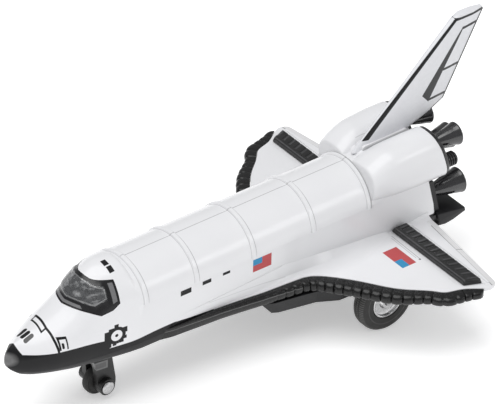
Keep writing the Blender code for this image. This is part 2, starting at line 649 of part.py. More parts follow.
def main_gear():
    """The driven rear axle with its two wheels, the motor and the cover over its front."""
    bore_r = MAIN_AXLE_R + RUNNING
    motor = block("pull_back_motor", MOTOR_FRONT, MOTOR_REAR, -MOTOR_HALF, MOTOR_HALF,
                  MOTOR_BOTTOM, COVER_BOTTOM - GAP, "black_plastic")
    bore = turned("motor_bore", [(-15, 0), (-15, bore_r), (15, bore_r), (15, 0)], "y",
                  MAIN_AXLE_D, MAIN_AXLE_Z, 16, "steel")
    combine(motor, bore, "DIFFERENCE")
    rings = [[(d, y, KEEL - GAP) for d, y in mirrored(COVER_TOP_EDGE)],
             [(d, y, COVER_BOTTOM) for d, y in mirrored(COVER_FOOT_EDGE)]]
    loft("motor_cover", rings, "black_plastic")

    reach = MAIN_OUTER_Y + 0.4
    r = MAIN_AXLE_R
    turned("main_axle", [(-reach, 0), (-reach, r), (reach, r), (reach, 0)], "y", MAIN_AXLE_D, MAIN_AXLE_Z, 16,
           "steel")
    for side, sign in SIDES.items():
        tyre_in = MAIN_HUB_R + GAP
        tyre = [(MAIN_INNER_Y, tyre_in), (MAIN_INNER_Y, MAIN_WHEEL_R - 0.9), (MAIN_INNER_Y + 0.9, MAIN_WHEEL_R),
                (MAIN_OUTER_Y - 0.9, MAIN_WHEEL_R), (MAIN_OUTER_Y, MAIN_WHEEL_R - 0.9), (MAIN_OUTER_Y, tyre_in)]
        turned("main_tyre_" + side, [(sign * y, radius) for y, radius in tyre], "y", MAIN_AXLE_D, MAIN_AXLE_Z,
               32, "tyre")
        hub_bore = MAIN_AXLE_R + GAP
        hub = [(MAIN_INNER_Y, hub_bore), (MAIN_INNER_Y, MAIN_HUB_R), (MAIN_OUTER_Y - 0.3, MAIN_HUB_R),
               (MAIN_OUTER_Y - 0.3, MAIN_HUB_R - 0.8), (MAIN_OUTER_Y - 1.4, MAIN_HUB_R - 1.2),
               (MAIN_OUTER_Y - 1.4, 2.6), (MAIN_OUTER_Y - 0.2, 2.2), (MAIN_OUTER_Y - 0.2, hub_bore)]
        turned("main_hub_" + side, [(sign * y, radius) for y, radius in hub], "y", MAIN_AXLE_D, MAIN_AXLE_Z,
               32, "chrome")


body_casting()
cockpit()
belly_base()
leading_edges()
wing_bars()
tail_fin()
rear_end()
nose_gear()
main_gear()
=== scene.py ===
"""Looks for a die-cast pull-back toy of a space shuttle orbiter.

Sizes are in millimetres and placed by three measures: d behind a point just ahead of the nose,
y out from the centre plane (port positive) and z above that point.
"""

from functools import reduce
from math import cos, hypot, pi, radians, sin, sqrt

import bmesh
import bpy
from mathutils import Matrix, Vector


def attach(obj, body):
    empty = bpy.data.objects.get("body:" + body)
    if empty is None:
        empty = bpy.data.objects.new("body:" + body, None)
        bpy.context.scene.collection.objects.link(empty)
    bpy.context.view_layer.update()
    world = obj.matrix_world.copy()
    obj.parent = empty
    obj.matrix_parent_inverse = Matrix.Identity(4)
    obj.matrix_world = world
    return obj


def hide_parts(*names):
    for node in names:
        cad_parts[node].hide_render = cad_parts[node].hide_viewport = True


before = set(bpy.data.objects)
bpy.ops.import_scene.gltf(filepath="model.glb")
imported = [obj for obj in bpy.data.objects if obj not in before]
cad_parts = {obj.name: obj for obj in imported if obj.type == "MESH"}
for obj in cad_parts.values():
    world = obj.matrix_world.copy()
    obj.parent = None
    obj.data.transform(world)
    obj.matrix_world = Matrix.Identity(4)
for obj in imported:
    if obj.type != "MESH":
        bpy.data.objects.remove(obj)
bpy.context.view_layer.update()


# Body casting, fuselage: one zinc die casting from nose to tail, sprayed with thick white enamel.
# Its lower edge and nose cap are sprayed glossy black, and the small marks are pad printed.
# The payload-bay doors and their five frames are raised in the same metal.
MM = 0.001  # metres
MIDDLE = 102.1  # d of the model's origin
NOSE_HEIGHT = 30.4  # of the nose point above the floor
PARTING = -5.2  # z where the casting ends and the base begins
GAP = 0.3  # left between the casting and the black mouldings
KEEL = -8.0  # z of the flat belly
BELLY = 13.2  # half the belly's width along the payload bay
BAY_START, BAY_END = 47.5, 146.0
BAY_SIDE, BAY_SHOULDER = 13.8, 10.6
BAY_TOP_FRONT, BAY_TOP_REAR = 22.0, 23.2
BAY_FRAMES = (49.2, 70.4, 94.6, 120.2, 144.4)
FRAME_HALF, FRAME_RAMP, FRAME_PROUD = 0.6, 0.35, 0.55
DOOR_PROUD, DOOR_LIP, DOOR_SEAM = 0.45, 0.35, 0.16
AFT_FOOT, AFT_LEAN = 173.7, 0.25
# d, keel z, belly half width, side half width, chine z, shoulder z, top z, flatness of the arch
NOSE_SECTIONS = (
    (1.0, -1.9, 0.3, 0.4, -0.8, -0.3, 0.7, 1.2),
    (1.9, -3.8, 0.8, 1.5, -0.9, -0.1, 2.6, 1.4),
    (3.4, -5.3, 1.4, 2.8, -0.9, 0.0, 4.1, 1.5),
    (5.8, -6.8, 2.3, 4.8, -0.9, 0.2, 5.4, 1.45),
    (10.3, -7.6, 4.0, 7.5, -0.7, 0.8, 6.8, 1.25),
    (16.5, -7.8, 6.4, 9.9, -0.4, 1.4, 9.2, 1.05),
    (24.0, KEEL, 8.8, 11.3, 0.0, 2.4, 13.2, 1.0),
    (29.0, KEEL, 9.9, 11.9, 0.0, 3.4, 18.2, 1.15),
    (33.0, KEEL, 10.8, 12.4, 0.0, 4.6, 21.9, 1.12),
    (36.5, KEEL, 11.5, 12.8, 0.0, 6.0, 23.6, 1.06),
    (41.0, KEEL, 12.3, 13.3, 0.0, 7.6, 24.2, 1.0),
    (45.5, KEEL, 12.9, 13.7, 0.0, 9.0, 23.9, 1.0),
    (46.6, KEEL, 13.0, BAY_SIDE, 0.0, 10.0, 22.4, 1.0),
)
AFT_SECTIONS = (
    (147.0, KEEL, BELLY, BAY_SIDE, 0.0, BAY_SHOULDER, 23.5, 1.0),
    (151.0, KEEL, BELLY, BAY_SIDE, 0.0, BAY_SHOULDER, 24.1, 1.0),
)
# Side outline of the cockpit window band behind and above its lowest corner, the chin: d, z
WINDOW_REAR = (
    (39.8, 13.6), (40.0, 20.9), (34.2, 21.2), (33.5, 21.34), (32.93, 21.73), (32.54, 22.3), (32.4, 23.0),
    (32.4, 27.0), (20.0, 27.0),
)
WINDOW_MIDDLE = (32.0, 17.0)
# The band's lower front edge lies in a plane: z at d 0 on the centre, fall along d, rise with y
SILL_LEVEL, SILL_FALL, SILL_RISE = 25.37, 0.499, 0.15
CHIN = (32.8, 10.7)
ARCH_STEPS = 22


def place(d, y, z):
    """Millimetres behind, beside and above the nose point, as metres in the model's frame."""
    return Vector(((MIDDLE - d) * MM, y * MM, (NOSE_HEIGHT + z) * MM))


def measured(point):
    """The d, y and z of a point in the model's frame."""
    return MIDDLE - point.x / MM, point.y / MM, point.z / MM - NOSE_HEIGHT


def select_only(*pieces):
    """Leave edit mode, and select these pieces and nothing else."""
    if bpy.context.object and bpy.context.object.mode != "OBJECT":
        bpy.ops.object.mode_set(mode="OBJECT")
    bpy.ops.object.select_all(action="DESELECT")
    for piece in pieces:
        piece.select_set(True)
        bpy.context.view_layer.objects.active = piece


def edit_only(piece, action="SELECT"):
    """Open one piece in edit mode, with all of it or nothing selected."""
    select_only(piece)
    bpy.ops.object.mode_set(mode="EDIT")
    bpy.ops.mesh.select_all(action=action)


def close_up(piece):
    """Merge what touches and turn every face outward."""
    edit_only(piece)
    bpy.ops.mesh.remove_doubles(threshold=2e-6)
    bpy.ops.mesh.normals_make_consistent(inside=False)
    bpy.ops.object.mode_set(mode="OBJECT")


def loft(name, rings):
    """Draw the first ring of (d, y, z) points as a filled loop and extrude it through the others."""
    select_only()
    bpy.ops.mesh.primitive_circle_add(vertices=len(rings[0]), radius=MM, fill_type="NGON")
    piece = bpy.context.object
    piece.name = name
    piece.location = (0, 0, 0)
    bpy.ops.object.mode_set(mode="EDIT")
    mesh = bmesh.from_edit_mesh(piece.data)
    for index, ring in enumerate(rings):
        if index:
            bpy.ops.mesh.extrude_region()
            mesh = bmesh.from_edit_mesh(piece.data)
        mesh.faces.ensure_lookup_table()
        end = mesh.faces[-1] if mesh.faces[-1].select else next(f for f in mesh.faces if f.select)
        for corner, point in zip(end.verts, ring):
            corner.co = place(*point)
        bmesh.update_edit_mesh(piece.data)
    close_up(piece)
    return piece


def ease(share):
    """A share from 0 to 1 with a soft start and a soft end."""
    return share * share * (3 - 2 * share)


def smooth_rows(rows, pitch, places=(0, 3, 6)):
    """A table with rows added between its own, on smooth curves that don't overshoot.

    The pitch is the distance between rows, measured over the columns that give their place.
    """
    along = [0.0]
    for near, far in zip(rows, rows[1:]):
        along.append(along[-1] + hypot(*(far[column] - near[column] for column in places)))
    slopes = []
    for column in zip(*rows):
        rises = [(b - a) / (t1 - t0) for a, b, t0, t1 in zip(column, column[1:], along, along[1:])]
        turns = [rises[0]]
        for before, after in zip(rises, rises[1:]):
            turns.append(0.0 if before * after <= 0 else 2 * before * after / (before + after))
        slopes.append(turns + [rises[-1]])
    made = []
    for i in range(len(rows) - 1):
        span = along[i + 1] - along[i]
        count = max(1, round(span / pitch))
        for step in range(count):
            u = step / count
            row = []
            for j, turns in enumerate(slopes):
                value = rows[i][j] + (rows[i + 1][j] - rows[i][j]) * ease(u)
                value += span * (u * (1 - u) ** 2 * turns[i] - u * u * (1 - u) * turns[i + 1])
                row.append(value)
            made.append(row)
    return made + [list(rows[-1])]


def hull_ring(d, keel, belly, side, chine, shoulder, top, flatter=1.0, proud=0.0, seam=0.0, lean=0.0):
    """One section: flat belly, rounded lower corner, upright side, door lip and an arched top."""
    half = []
    for step in range(7):
        turn = pi / 12 * step
        half.append((belly + (side - belly) * sin(turn), chine - (chine - keel) * cos(turn)))
    half.append((side, (chine + shoulder) / 2))
    half.append((side, shoulder - DOOR_LIP))
    half.append((side + proud * 0.4, shoulder - DOOR_LIP * 0.6))
    half.append((side + proud * 0.85, shoulder - DOOR_LIP * 0.2))
    for step in range(ARCH_STEPS):
        turn = pi / 2 * step / ARCH_STEPS
        half.append(((side + proud) * cos(turn) ** flatter, shoulder + (top - shoulder) * sin(turn) ** flatter))
    edge = min(0.28, side * 0.04)
    half.append((edge, top - 0.001))
    half.append((edge * 0.45, top - seam * 0.8))
    ring = half + [(0.0, top - seam)] + [(-y, z) for y, z in reversed(half)]
    return [(d - lean * z, y, z) for y, z in ring]


def bay_rings():
    """The doors stand proud of the sides and the frames proud of the doors, with eased ramps."""
    stations = set()
    reach = FRAME_HALF + FRAME_RAMP
    for frame_d in BAY_FRAMES:
        for step in range(7):
            for sign in (-1, 1):
                stations.add(round(frame_d + sign * (FRAME_HALF - 0.1 + (FRAME_RAMP + 0.1) * step / 6), 4))
    spare = [d for a, b in zip(BAY_FRAMES, BAY_FRAMES[1:]) for d in (a + (b - a) * k / 6 for k in range(1, 6))]
    rings = []
    for d in sorted(stations | set(spare)):
        away = min(abs(d - frame_d) for frame_d in BAY_FRAMES)
        share = min(max((reach - away) / FRAME_RAMP, 0.0), 1.0)
        lift = FRAME_PROUD * ease(share)
        top = BAY_TOP_FRONT + (BAY_TOP_REAR - BAY_TOP_FRONT) * (d - BAY_START) / (BAY_END - BAY_START) + lift
        rings.append(hull_ring(d, KEEL, BELLY, BAY_SIDE, 0.0, BAY_SHOULDER, top, 1.0,
                               DOOR_PROUD + lift, DOOR_SEAM))
    return rings


def fuselage_rings():
    """All the fuselage's rings from nose to tail."""
    rings = [hull_ring(*section) for section in smooth_rows(NOSE_SECTIONS, 0.8)]
    rings += bay_rings()
    rings += [hull_ring(*section) for section in AFT_SECTIONS]
    rings.append(hull_ring(AFT_FOOT, *AFT_SECTIONS[-1][1:], lean=AFT_LEAN))
    return rings


def cut_level(piece, height, keep_above):
    """Bisect a piece with a level plane and fill the cut."""
    edit_only(piece)
    bpy.ops.mesh.bisect(plane_co=place(0, 0, height), plane_no=(0, 0, 1), use_fill=True,
                        clear_inner=keep_above, clear_outer=not keep_above)
    bpy.ops.object.mode_set(mode="OBJECT")


def carve(piece, tool, operation="DIFFERENCE"):
    """Boolean a piece with a tool, which is then thrown away. The tool's faces keep its own material slot."""
    select_only(piece)
    step = piece.modifiers.new("carve", "BOOLEAN")
    step.operation = operation
    step.solver = "EXACT"
    step.object = tool
    bpy.ops.object.modifier_apply(modifier=step.name)
    bpy.data.objects.remove(tool, do_unlink=True)


def tool_solid(rings, slots=0):
    """A solid for carving, whose faces take the material slot after that many others."""
    tool = loft("tool", rings)
    for _ in range(slots + 1):
        tool.data.materials.append(None)
    for face in tool.data.polygons:
        face.material_index = slots
    return tool


def side_tool(outline, half, slots=0):
    """A prism across the body with a (d, z) outline."""
    return tool_solid([[(d, y, z) for d, z in outline] for y in (-half, half)], slots)


def plan_tool(outline, low, high):
    """An upright prism with a (d, y) outline."""
    return tool_solid([[(d, y, z) for d, y in outline] for z in (low, high)])


def window_tool(shrink):
    """The solid that cuts the window band out of the nose, made smaller all round for the glass."""
    middle_d, middle_z = WINDOW_MIDDLE
    rear = [(d + (middle_d - d) * shrink * 0.1, z + (middle_z - z) * shrink * 0.1) for d, z in WINDOW_REAR]
    rings = []
    for y in (-20.0, 0.0, 20.0):
        level = SILL_LEVEL + SILL_RISE * abs(y) + shrink
        sill = [(d, level - SILL_FALL * d) for d in (20.0, CHIN[0])]
        rings.append([(d, y, z) for d, z in sill + rear])
    return tool_solid(rings, slots=1)


def round_edges(piece, width, angle=50, where=None):
    """Bevel the edges sharper than an angle, all of them or only those that where() accepts."""
    edit_only(piece, "DESELECT")
    bpy.ops.mesh.select_mode(type="EDGE")
    mesh = bmesh.from_edit_mesh(piece.data)
    for edge in mesh.edges:
        if len(edge.link_faces) == 2 and edge.calc_face_angle(0.0) > radians(angle):
            middle = (edge.verts[0].co + edge.verts[1].co) / 2
            edge.select_set(where is None or where(*measured(middle)))
    bmesh.update_edit_mesh(piece.data)
    bpy.ops.mesh.bevel(offset=width * MM, segments=3, profile=0.5, clamp_overlap=True)
    bpy.ops.object.mode_set(mode="OBJECT")


def other_side(piece, name):
    """A copy of a port piece mirrored to starboard, with its faces turned outward again."""
    select_only(piece)
    bpy.ops.object.duplicate()
    copy = bpy.context.object
    copy.name = name
    bpy.ops.transform.mirror(constraint_axis=(False, True, False), orient_type="GLOBAL")
    bpy.ops.object.transform_apply(location=True, rotation=True, scale=True)
    close_up(copy)
    return copy


class Wire:
    """One shader output, on which Python's operators add Math nodes."""

    tree = None

    def __init__(self, socket):
        self.socket = socket

    @classmethod
    def node(cls, kind, settings=None, sockets=None, output=0):
        """Add a node, set it, feed its sockets with values or wires, and return one of its outputs."""
        made = cls.tree.nodes.new(kind)
        for name, value in (settings or {}).items():
            if name == "stops":
                stops = made.color_ramp.elements
                stops.remove(stops[1])
                stops[0].position, stops[0].color = value[0][0], (*[value[0][1]] * 3, 1)
                for position, shade in value[1:]:
                    stops.new(position).color = (shade, shade, shade, 1)
            else:
                setattr(made, name, value)
        for name, value in (sockets or {}).items():
            if isinstance(value, Wire):
                cls.tree.links.new(value.socket, made.inputs[name])
            elif isinstance(value, tuple) and len(value) == 3 and made.inputs[name].type == "RGBA":
                made.inputs[name].default_value = (*value, 1.0)
            else:
                made.inputs[name].default_value = value
        return cls(made.outputs[output])

    def maths(self, operation, other=0.0):
        """This value and another through a Math node."""
        return Wire.node("ShaderNodeMath", {"operation": operation}, {0: self, 1: other})

    def __add__(self, other):
        return self.maths("ADD", other)

    __radd__ = __add__

    def __sub__(self, other):
        return self.maths("SUBTRACT", other)

    def __rsub__(self, other):
        return Wire.node("ShaderNodeMath", {"operation": "SUBTRACT"}, {0: other, 1: self})

    def __mul__(self, other):
        return self.maths("MULTIPLY", other)

    __rmul__ = __mul__

    def __truediv__(self, other):
        return self.maths("DIVIDE", other)

    def most(self, other):
        """The greater of two values: where two shapes overlap, if both are distances."""
        return self.maths("MAXIMUM", other)

    def least(self, other):
        """The lesser of two values: two shapes together, if both are distances."""
        return self.maths("MINIMUM", other)

    def size(self):
        """This value without its sign."""
        return self.maths("ABSOLUTE")

    def clamped(self):
        """This value held between 0 and 1."""
        return Wire.node("ShaderNodeMath", {"operation": "ADD", "use_clamp": True}, {0: self, 1: 0.0})

    def filled(self, soft=0.08):
        """1 where a distance in millimetres is below zero, and 0 outside."""
        return Wire.node("ShaderNodeMath", {"operation": "MULTIPLY_ADD", "use_clamp": True},
                         {0: self, 1: -1.0 / soft, 2: 0.5})


def blank(name):
    """A new material for one piece, and its shader."""
    made = bpy.data.materials.new(name)
    made.use_nodes = True
    Wire.tree = made.node_tree
    return made, made.node_tree.nodes["Principled BSDF"]


def feed(shader, **values):
    """Set or link the shader's sockets, with spaces written as underscores."""
    for name, value in values.items():
        socket = shader.inputs[name.replace("_", " ")]
        if isinstance(value, Wire):
            Wire.tree.links.new(value.socket, socket)
        elif isinstance(value, tuple):
            socket.default_value = (*value, 1.0)
        else:
            socket.default_value = value


def measures():
    """The surface point, and its d, y and z in millimetres."""
    point = Wire.node("ShaderNodeTexCoord", output=3)
    split = Wire.node("ShaderNodeSeparateXYZ", None, {0: point})
    parts = [Wire(split.socket.node.outputs[i]) for i in range(3)]
    return point, MIDDLE - parts[0] * 1000, parts[1] * 1000, parts[2] * 1000 - NOSE_HEIGHT


def grain(point, size, detail=3.0, rough=0.5):
    """Soft random shade whose patches are about size millimetres across."""
    return Wire.node("ShaderNodeTexNoise", None,
                     {"Vector": point, "Scale": 1000.0 / size, "Detail": detail, "Roughness": rough})


def tint(mask, below, above):
    """One colour where the mask is 0 and another where it is 1."""
    return Wire.node("ShaderNodeMix", {"data_type": "RGBA"}, {0: mask, 6: below, 7: above}, output=2)


def dents(height, depth, strength=1.0):
    """A surface normal from a height, with the depth in millimetres."""
    return Wire.node("ShaderNodeBump", None, {"Strength": strength, "Distance": depth * MM, "Height": height})


def box(u, v, u0, u1, v0, v1):
    """Distance to a rectangle's edge in millimetres, negative inside."""
    across = (u - (u0 + u1) / 2).size() - (u1 - u0) / 2
    return across.most((v - (v0 + v1) / 2).size() - (v1 - v0) / 2)


def length_of(u, v):
    """Length of the flat vector (u, v)."""
    return (u * u + v * v).maths("SQRT")


def side_of(u, v, start, end):
    """Distance to the left of a line from start to end in the (u, v) plane."""
    run, rise = end[0] - start[0], end[1] - start[1]
    length = hypot(run, rise)
    nu, nv = -rise / length, run / length
    return u * nu + v * nv - (start[0] * nu + start[1] * nv)


def line(u, v, start, end, width):
    """Distance to the edge of a straight stroke of that width, negative inside."""
    run, rise = end[0] - start[0], end[1] - start[1]
    length = hypot(run, rise)
    middle = ((start[0] + end[0]) / 2, (start[1] + end[1]) / 2)
    along = u * (run / length) + v * (rise / length) - (middle[0] * run + middle[1] * rise) / length
    return (side_of(u, v, start, end).size() - width / 2).most(along.size() - length / 2)


def nearest(form, u, v, rows):
    """Distance to the nearest of several boxes or lines, each row holding one's sizes."""
    return reduce(Wire.least, [form(u, v, *row) for row in rows])


def shape(u, v, corners):
    """Distance outside a flat shape with straight sides and no hollows, its corners in clockwise order."""
    return reduce(Wire.most, [side_of(u, v, *edge) for edge in zip(corners, corners[1:] + corners[:1])])


def graph(u, points, u0, u1, v0, v1):
    """Height at u of a line through (u, v) points, which lie between these limits."""
    stops = [((at - u0) / (u1 - u0), (v - v0) / (v1 - v0)) for at, v in points]
    share = (u - u0) * (1.0 / (u1 - u0))
    return Wire.node("ShaderNodeValToRGB", {"stops": stops}, {0: share}) * (v1 - v0) + v0


# Black for prints, and a grey used for printed marks and for painted shade lines.
INK, GREY_INK_AND_SHADE = (0.006, 0.006, 0.007), (0.11, 0.11, 0.11)
RED, BLUE = (0.5, 0.085, 0.09), (0.04, 0.27, 0.5)


def enamel(name, marks=None):
    """Thick glossy white enamel. marks(point, d, y, z) lists the (mask, ink) pairs printed or sprayed on it, and the
    shade and reflection painted on it.
    """
    made, shader = blank(name)
    point, d, y, z = measures()
    colour = tint(grain(point, 14), (0.79, 0.792, 0.81), (0.83, 0.832, 0.845))
    covered = 0.0
    for mask, ink in marks(point, d, y, z) if marks else ():
        colour = tint(mask, colour, ink)
        covered = mask.most(covered)
    feed(shader, Base_Color=colour, Specular_IOR_Level=0.24, Coat_Weight=0.4 - covered * 0.4, Coat_Roughness=0.14,
         Roughness=0.26 + grain(point, 3.5) * 0.1 + covered * 0.14,
         Normal=dents(grain(point, 2.6, 2.0), 0.03, 0.35))
    return made


# Where the black spray stops on the fuselage's side: d, z
SPRAY_LINE = (
    (0.0, 2.0), (20.6, 1.8), (25.7, 1.6), (31.4, 1.1), (34.3, 0.7), (34.8, -2.9), (44.0, -3.2), (54.0, -2.6),
    (62.0, -2.5), (68.0, -3.2), (78.0, -4.0), (200.0, -4.15),
)
# How far the prints across the nose sit behind a straight cross line: y, d
NOSE_BEND = ((-5.0, 0.8), (-0.5, 0.1), (3.3, -0.55), (5.5, -0.42), (7.5, -0.38), (9.0, -0.2), (9.8, 0.1))
# Printed boxes: ports, hatch frame and patch on the sides (d, d, z, z), ports on the roof (d, d, y, y),
# and the teeth round the crew hatch, measured from its middle
SIDE_PORTS = ((63.9, 68.4, 7.1, 9.2), (73.1, 76.8, 7.8, 9.35), (81.7, 84.8, 8.2, 9.3))
NOSE_HATCH, NOSE_HATCH_HOLE = (16.6, 19.75, 2.4, 6.6), (17.25, 19.25, 0.0, 5.85)
SIDE_PATCH = ((94.6, 102.5, 4.1, 9.2), (94.6, 98.5, 6.7, 9.2))
ROOF_PORTS = ((39.7, 41.7, 0.6, 3.1), (39.9, 41.9, 3.6, 6.0))
CREW_HATCH_D, CREW_HATCH_Z, CREW_HATCH_RING, CREW_HATCH_HOLE, CREW_HATCH_DOT = 37.85, 1.55, 3.45, 2.15, 0.62
CREW_HATCH_TEETH = (
    (-0.95, 0.7, 2.5, 4.6), (1.7, 4.1, 0.4, 2.6), (2.4, 3.85, -2.2, -0.9), (1.1, 2.7, -3.4, -2.1),
    (-1.5, -0.1, -4.0, -3.0), (-3.1, 0.7, 1.9, 3.45), (-4.7, -2.0, -4.3, 2.6),
)


def spray_edge(d):
    """Height of the black spray's edge at d."""
    return graph(d, SPRAY_LINE, 0.0, 210.0, -10.0, 10.0)


def slot_mark(d, y, front, rear, middle, half=0.75):
    """Distance to a round-ended slot along the body."""
    past_end = ((d - (front + rear) / 2).size() - ((rear - front) / 2 - half)).most(0.0)
    return length_of(past_end, y - middle) - half


def patch(u, v, areas, limit):
    """A plain red field with a plain blue corner, printed where the limit is below zero."""
    return [(box(u, v, *area).most(limit).filled(), ink) for area, ink in zip(areas, (RED, BLUE))]


def fuselage_marks(point, d, y, z):
    """Black spray, printed nose marks, hatch, side ports and the plain two-colour patch, with a painted reflection
    on the nose cap and painted shade lines at the frames' feet and the pod's front.
    """
    wide = y.size()
    off_nose_top = 4.4 - z
    black = (z - spray_edge(d)).least(d - 4.6 - wide * wide * 0.066)
    slots = slot_mark(d, y, 7.6, 11.5, -2.15, 0.9).least(slot_mark(d, y, 7.4, 11.3, 0.0)).most(off_nose_top)
    pale_slot = slot_mark(d, y, 7.5, 11.4, 1.85).most(off_nose_top)
    bent_d = d - graph(y, NOSE_BEND, -10.0, 10.0, -1.0, 1.0)
    seam = ((bent_d - 16.2).size() - 0.38).most(1.8 - z).most(-5.0 - y)
    frame_box = (box(bent_d, y, 14.3, 16.2, -4.3, 3.1).size() - 0.3).most(off_nose_top)
    hatch = box(d, z, *NOSE_HATCH).most(0.0 - box(d, z, *NOSE_HATCH_HOLE))
    hatch = hatch.least(slot_mark(z, d, 2.8, 4.8, 18.0, 0.42))
    u, v = d - CREW_HATCH_D, z - CREW_HATCH_Z
    radius = length_of(u, v)
    crew_hatch = nearest(box, u, v, CREW_HATCH_TEETH).least(radius - CREW_HATCH_RING).most(
        CREW_HATCH_HOLE - radius).least(radius - CREW_HATCH_DOT)
    sides = hatch.least(crew_hatch).least(nearest(box, d, z, SIDE_PORTS)).most(6.0 - wide)
    roof = nearest(box, d, y, ROOF_PORTS).most(18.0 - z)
    printed = reduce(Wire.least, [black, slots, seam, frame_box, sides, roof])
    # A grey patch on the black nose cap: a painted reflection of light.
    sheen_and_wear = (length_of(y * 0.3317, (z + 0.3) * 0.4) - 1.0).most(d - 7.5).filled(0.5)
    roof_seam = (wide - 0.1).most(box(d, z, BAY_START + 1.0, BAY_END - 1.0, 20.0, 30.0))
    # Painted shade: grey lines along the foot of each bay frame, on both sides, and at the pod's front.
    foot_shade_lines = [(d - frame_d - 1.0).size() - 0.14 for frame_d in BAY_FRAMES]
    foot_shade_lines += [(d - frame_d + 1.0).size() - 0.05 for frame_d in BAY_FRAMES]
    foot_shade_lines.append((d - 144.9).size() - 0.26)
    frame_shade = reduce(Wire.least, foot_shade_lines).most(BAY_SHOULDER - z)
    return [(printed.filled(), INK), (sheen_and_wear * (0.35 + grain(point, 2.2) * 0.5), (0.26, 0.26, 0.26)),
            (pale_slot.filled(), GREY_INK_AND_SHADE), (roof_seam.filled(0.25) * 0.7, GREY_INK_AND_SHADE),
            (frame_shade.filled(0.25) * 0.6, GREY_INK_AND_SHADE), *patch(d, z, SIDE_PATCH, 12.0 - wide)]


def dark_inside(name):
    """Unlit raw inside of a moulding: dark grey with a fine sandy texture."""
    made, shader = blank(name)
    point = measures()[0]
    feed(shader, Base_Color=tint(grain(point, 2.0), (0.02, 0.02, 0.022), (0.05, 0.05, 0.055)),
         Roughness=0.5 + grain(point, 0.8) * 0.3, Normal=dents(grain(point, 0.5), 0.04, 0.6))
    return made


def dressed(piece, body, material, nodes=(), smooth=38):
    """Shade a finished piece, give it its material and join it to its body."""
    select_only(piece)
    bpy.ops.object.shade_smooth_by_angle(angle=radians(smooth))
    if material:
        if piece.data.materials:
            piece.data.materials[0] = material
        else:
            piece.data.materials.append(material)
    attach(piece, body)
    if nodes:
        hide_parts(*nodes)


fuselage = loft("casting_fuselage", fuselage_rings())
cut_level(fuselage, PARTING, keep_above=True)
fuselage.data.materials.append(enamel("fuselage_enamel", fuselage_marks))
fuselage.data.materials.append(dark_inside("casting_inside"))
carve(fuselage, window_tool(0.0))
carve(fuselage, side_tool([(28.5, 5.5), (39.9, 5.5), (39.9, 15.0), (28.5, 15.0)], 8.4, slots=1))
for sign in (1, -1):
    corner = [(172.5, sign * 14.4), (175.2, sign * 12.9), (176.4, sign * 12.9), (176.4, sign * 14.4)]
    carve(fuselage, plan_tool(corner, PARTING - 1.0, 6.0))
round_edges(fuselage, 0.5, where=lambda d, y, z: d > 165)
dressed(fuselage, "airframe", None, ["body_casting"])


# Body casting, wing tops: the same metal runs out into two thin flat wings with a hollow curve at
# the root. The elevons are cast in one with them, with raised panels and a fine groove in front.
WING_TOP = -4.0
WING_ROOT_D = 171.3
TIP_ROUND = ((160.5, 58.5), (162.2, 59.2), (164.2, 58.8), (165.4, 57.9))
WING_TIP, WING_REAR = (165.8, 56.8), (170.7, 19.7)
ELEVON_FRONT = 161.7
# Edge of the metal from glove to tip: d, y, width of the black edge beyond it
WING_EDGE = (
    (62.0, 13.7, 0.5), (78.0, 13.95, 1.8), (88.0, 14.9, 2.1), (98.0, 16.1, 2.4), (107.0, 16.7, 3.2),
    (113.4, 17.2, 3.8), (116.4, 18.1, 4.2), (118.6, 19.5, 4.4), (120.7, 21.3, 4.8), (127.3, 29.0, 5.2),
    (136.1, 41.2, 4.9), (144.5, 48.8, 4.0), (147.9, 52.3, 4.6), (154.1, 54.4, 4.1), (160.0, 58.3, 2.2),
)
# d, z of the fairing's upper edge, z of its crease, y where it meets the wing top, hollow, lean
FAIRING = (
    (60.0, -3.0, -3.4, 13.6, 0.25, 0.0), (66.0, -0.8, -1.6, 13.85, 0.25, 0.0), (78.0, 0.0, -0.7, 13.95, 0.25, 0.0),
    (88.0, 0.5, -1.1, 14.75, 0.25, 0.0), (98.0, 1.2, -1.6, 15.95, 0.25, 0.0), (107.0, 1.8, -2.6, 16.55, 0.25, 0.0),
    (113.4, 1.2, -3.0, 17.0, 0.25, 0.0), (118.6, 0.6, -2.9, 19.0, 0.25, 0.0), (123.0, 0.1, -2.7, 21.0, 0.25, 0.0),
    (135.0, -1.2, -2.6, 22.0, 0.25, 0.0), (148.0, -2.4, -3.1, 17.0, 0.2, 0.0), (153.4, -3.5, -3.8, 15.2, 0.15, 0.0),
    (154.5, -4.3, -4.35, 14.8, 0.0, 0.0), (161.4, -4.3, -4.35, 15.0, 0.0, 0.0), (162.2, -3.7, -4.1, 15.4, 0.1, 0.05),
    (166.5, -3.0, -3.7, 15.9, 0.06, 0.1), (171.0, -2.4, -3.4, 16.4, 0.04, 0.15),
)
FAIRING_INNER = 13.95
BAR_FRONT, BAR_REAR, BAR_INNER = 155.1, 161.0, 14.2
BAR_OUTER_FRONT, BAR_OUTER_REAR = 53.3, 55.8


def outward(points, index):
    """Unit normal of a plan curve at one point, forward and outboard."""
    ahead = points[max(index - 1, 0)]
    behind = points[min(index + 1, len(points) - 1)]
    run, rise = behind[0] - ahead[0], behind[1] - ahead[1]
    length = hypot(run, rise)
    return -rise / length, run / length


def both_sides(piece, slot, node, paint, name, *marks, smooth=38):
    """Dress a port piece with paint(name, *marks), and then its mirror image to starboard in the same way."""
    dressed(piece, "airframe", paint(name, *marks), [node], smooth)
    copy = other_side(piece, piece.name.replace("port", "starboard"))
    name, node = name.replace("port", "starboard"), node.replace("port", "starboard")
    dressed(copy, "airframe", paint(name, *marks), [node], smooth)


WING_PATCH = ((144.8, 150.8, 21.8, 33.0), (144.8, 147.9, 28.4, 33.0))
# Fine lines cut into the wing top: start and end (both d, y), and width
SCRIBED_LINES = (
    ((168.6, 19.0), (163.5, 58.6), 0.34), ((166.6, 35.0), (168.6, 36.4), 0.3), ((163.7, 16.6), (163.9, 21.4), 0.4),
    ((153.5, 15.9), (153.1, 31.9), 0.2), ((152.7, 17.0), (152.3, 31.0), 0.14),
)


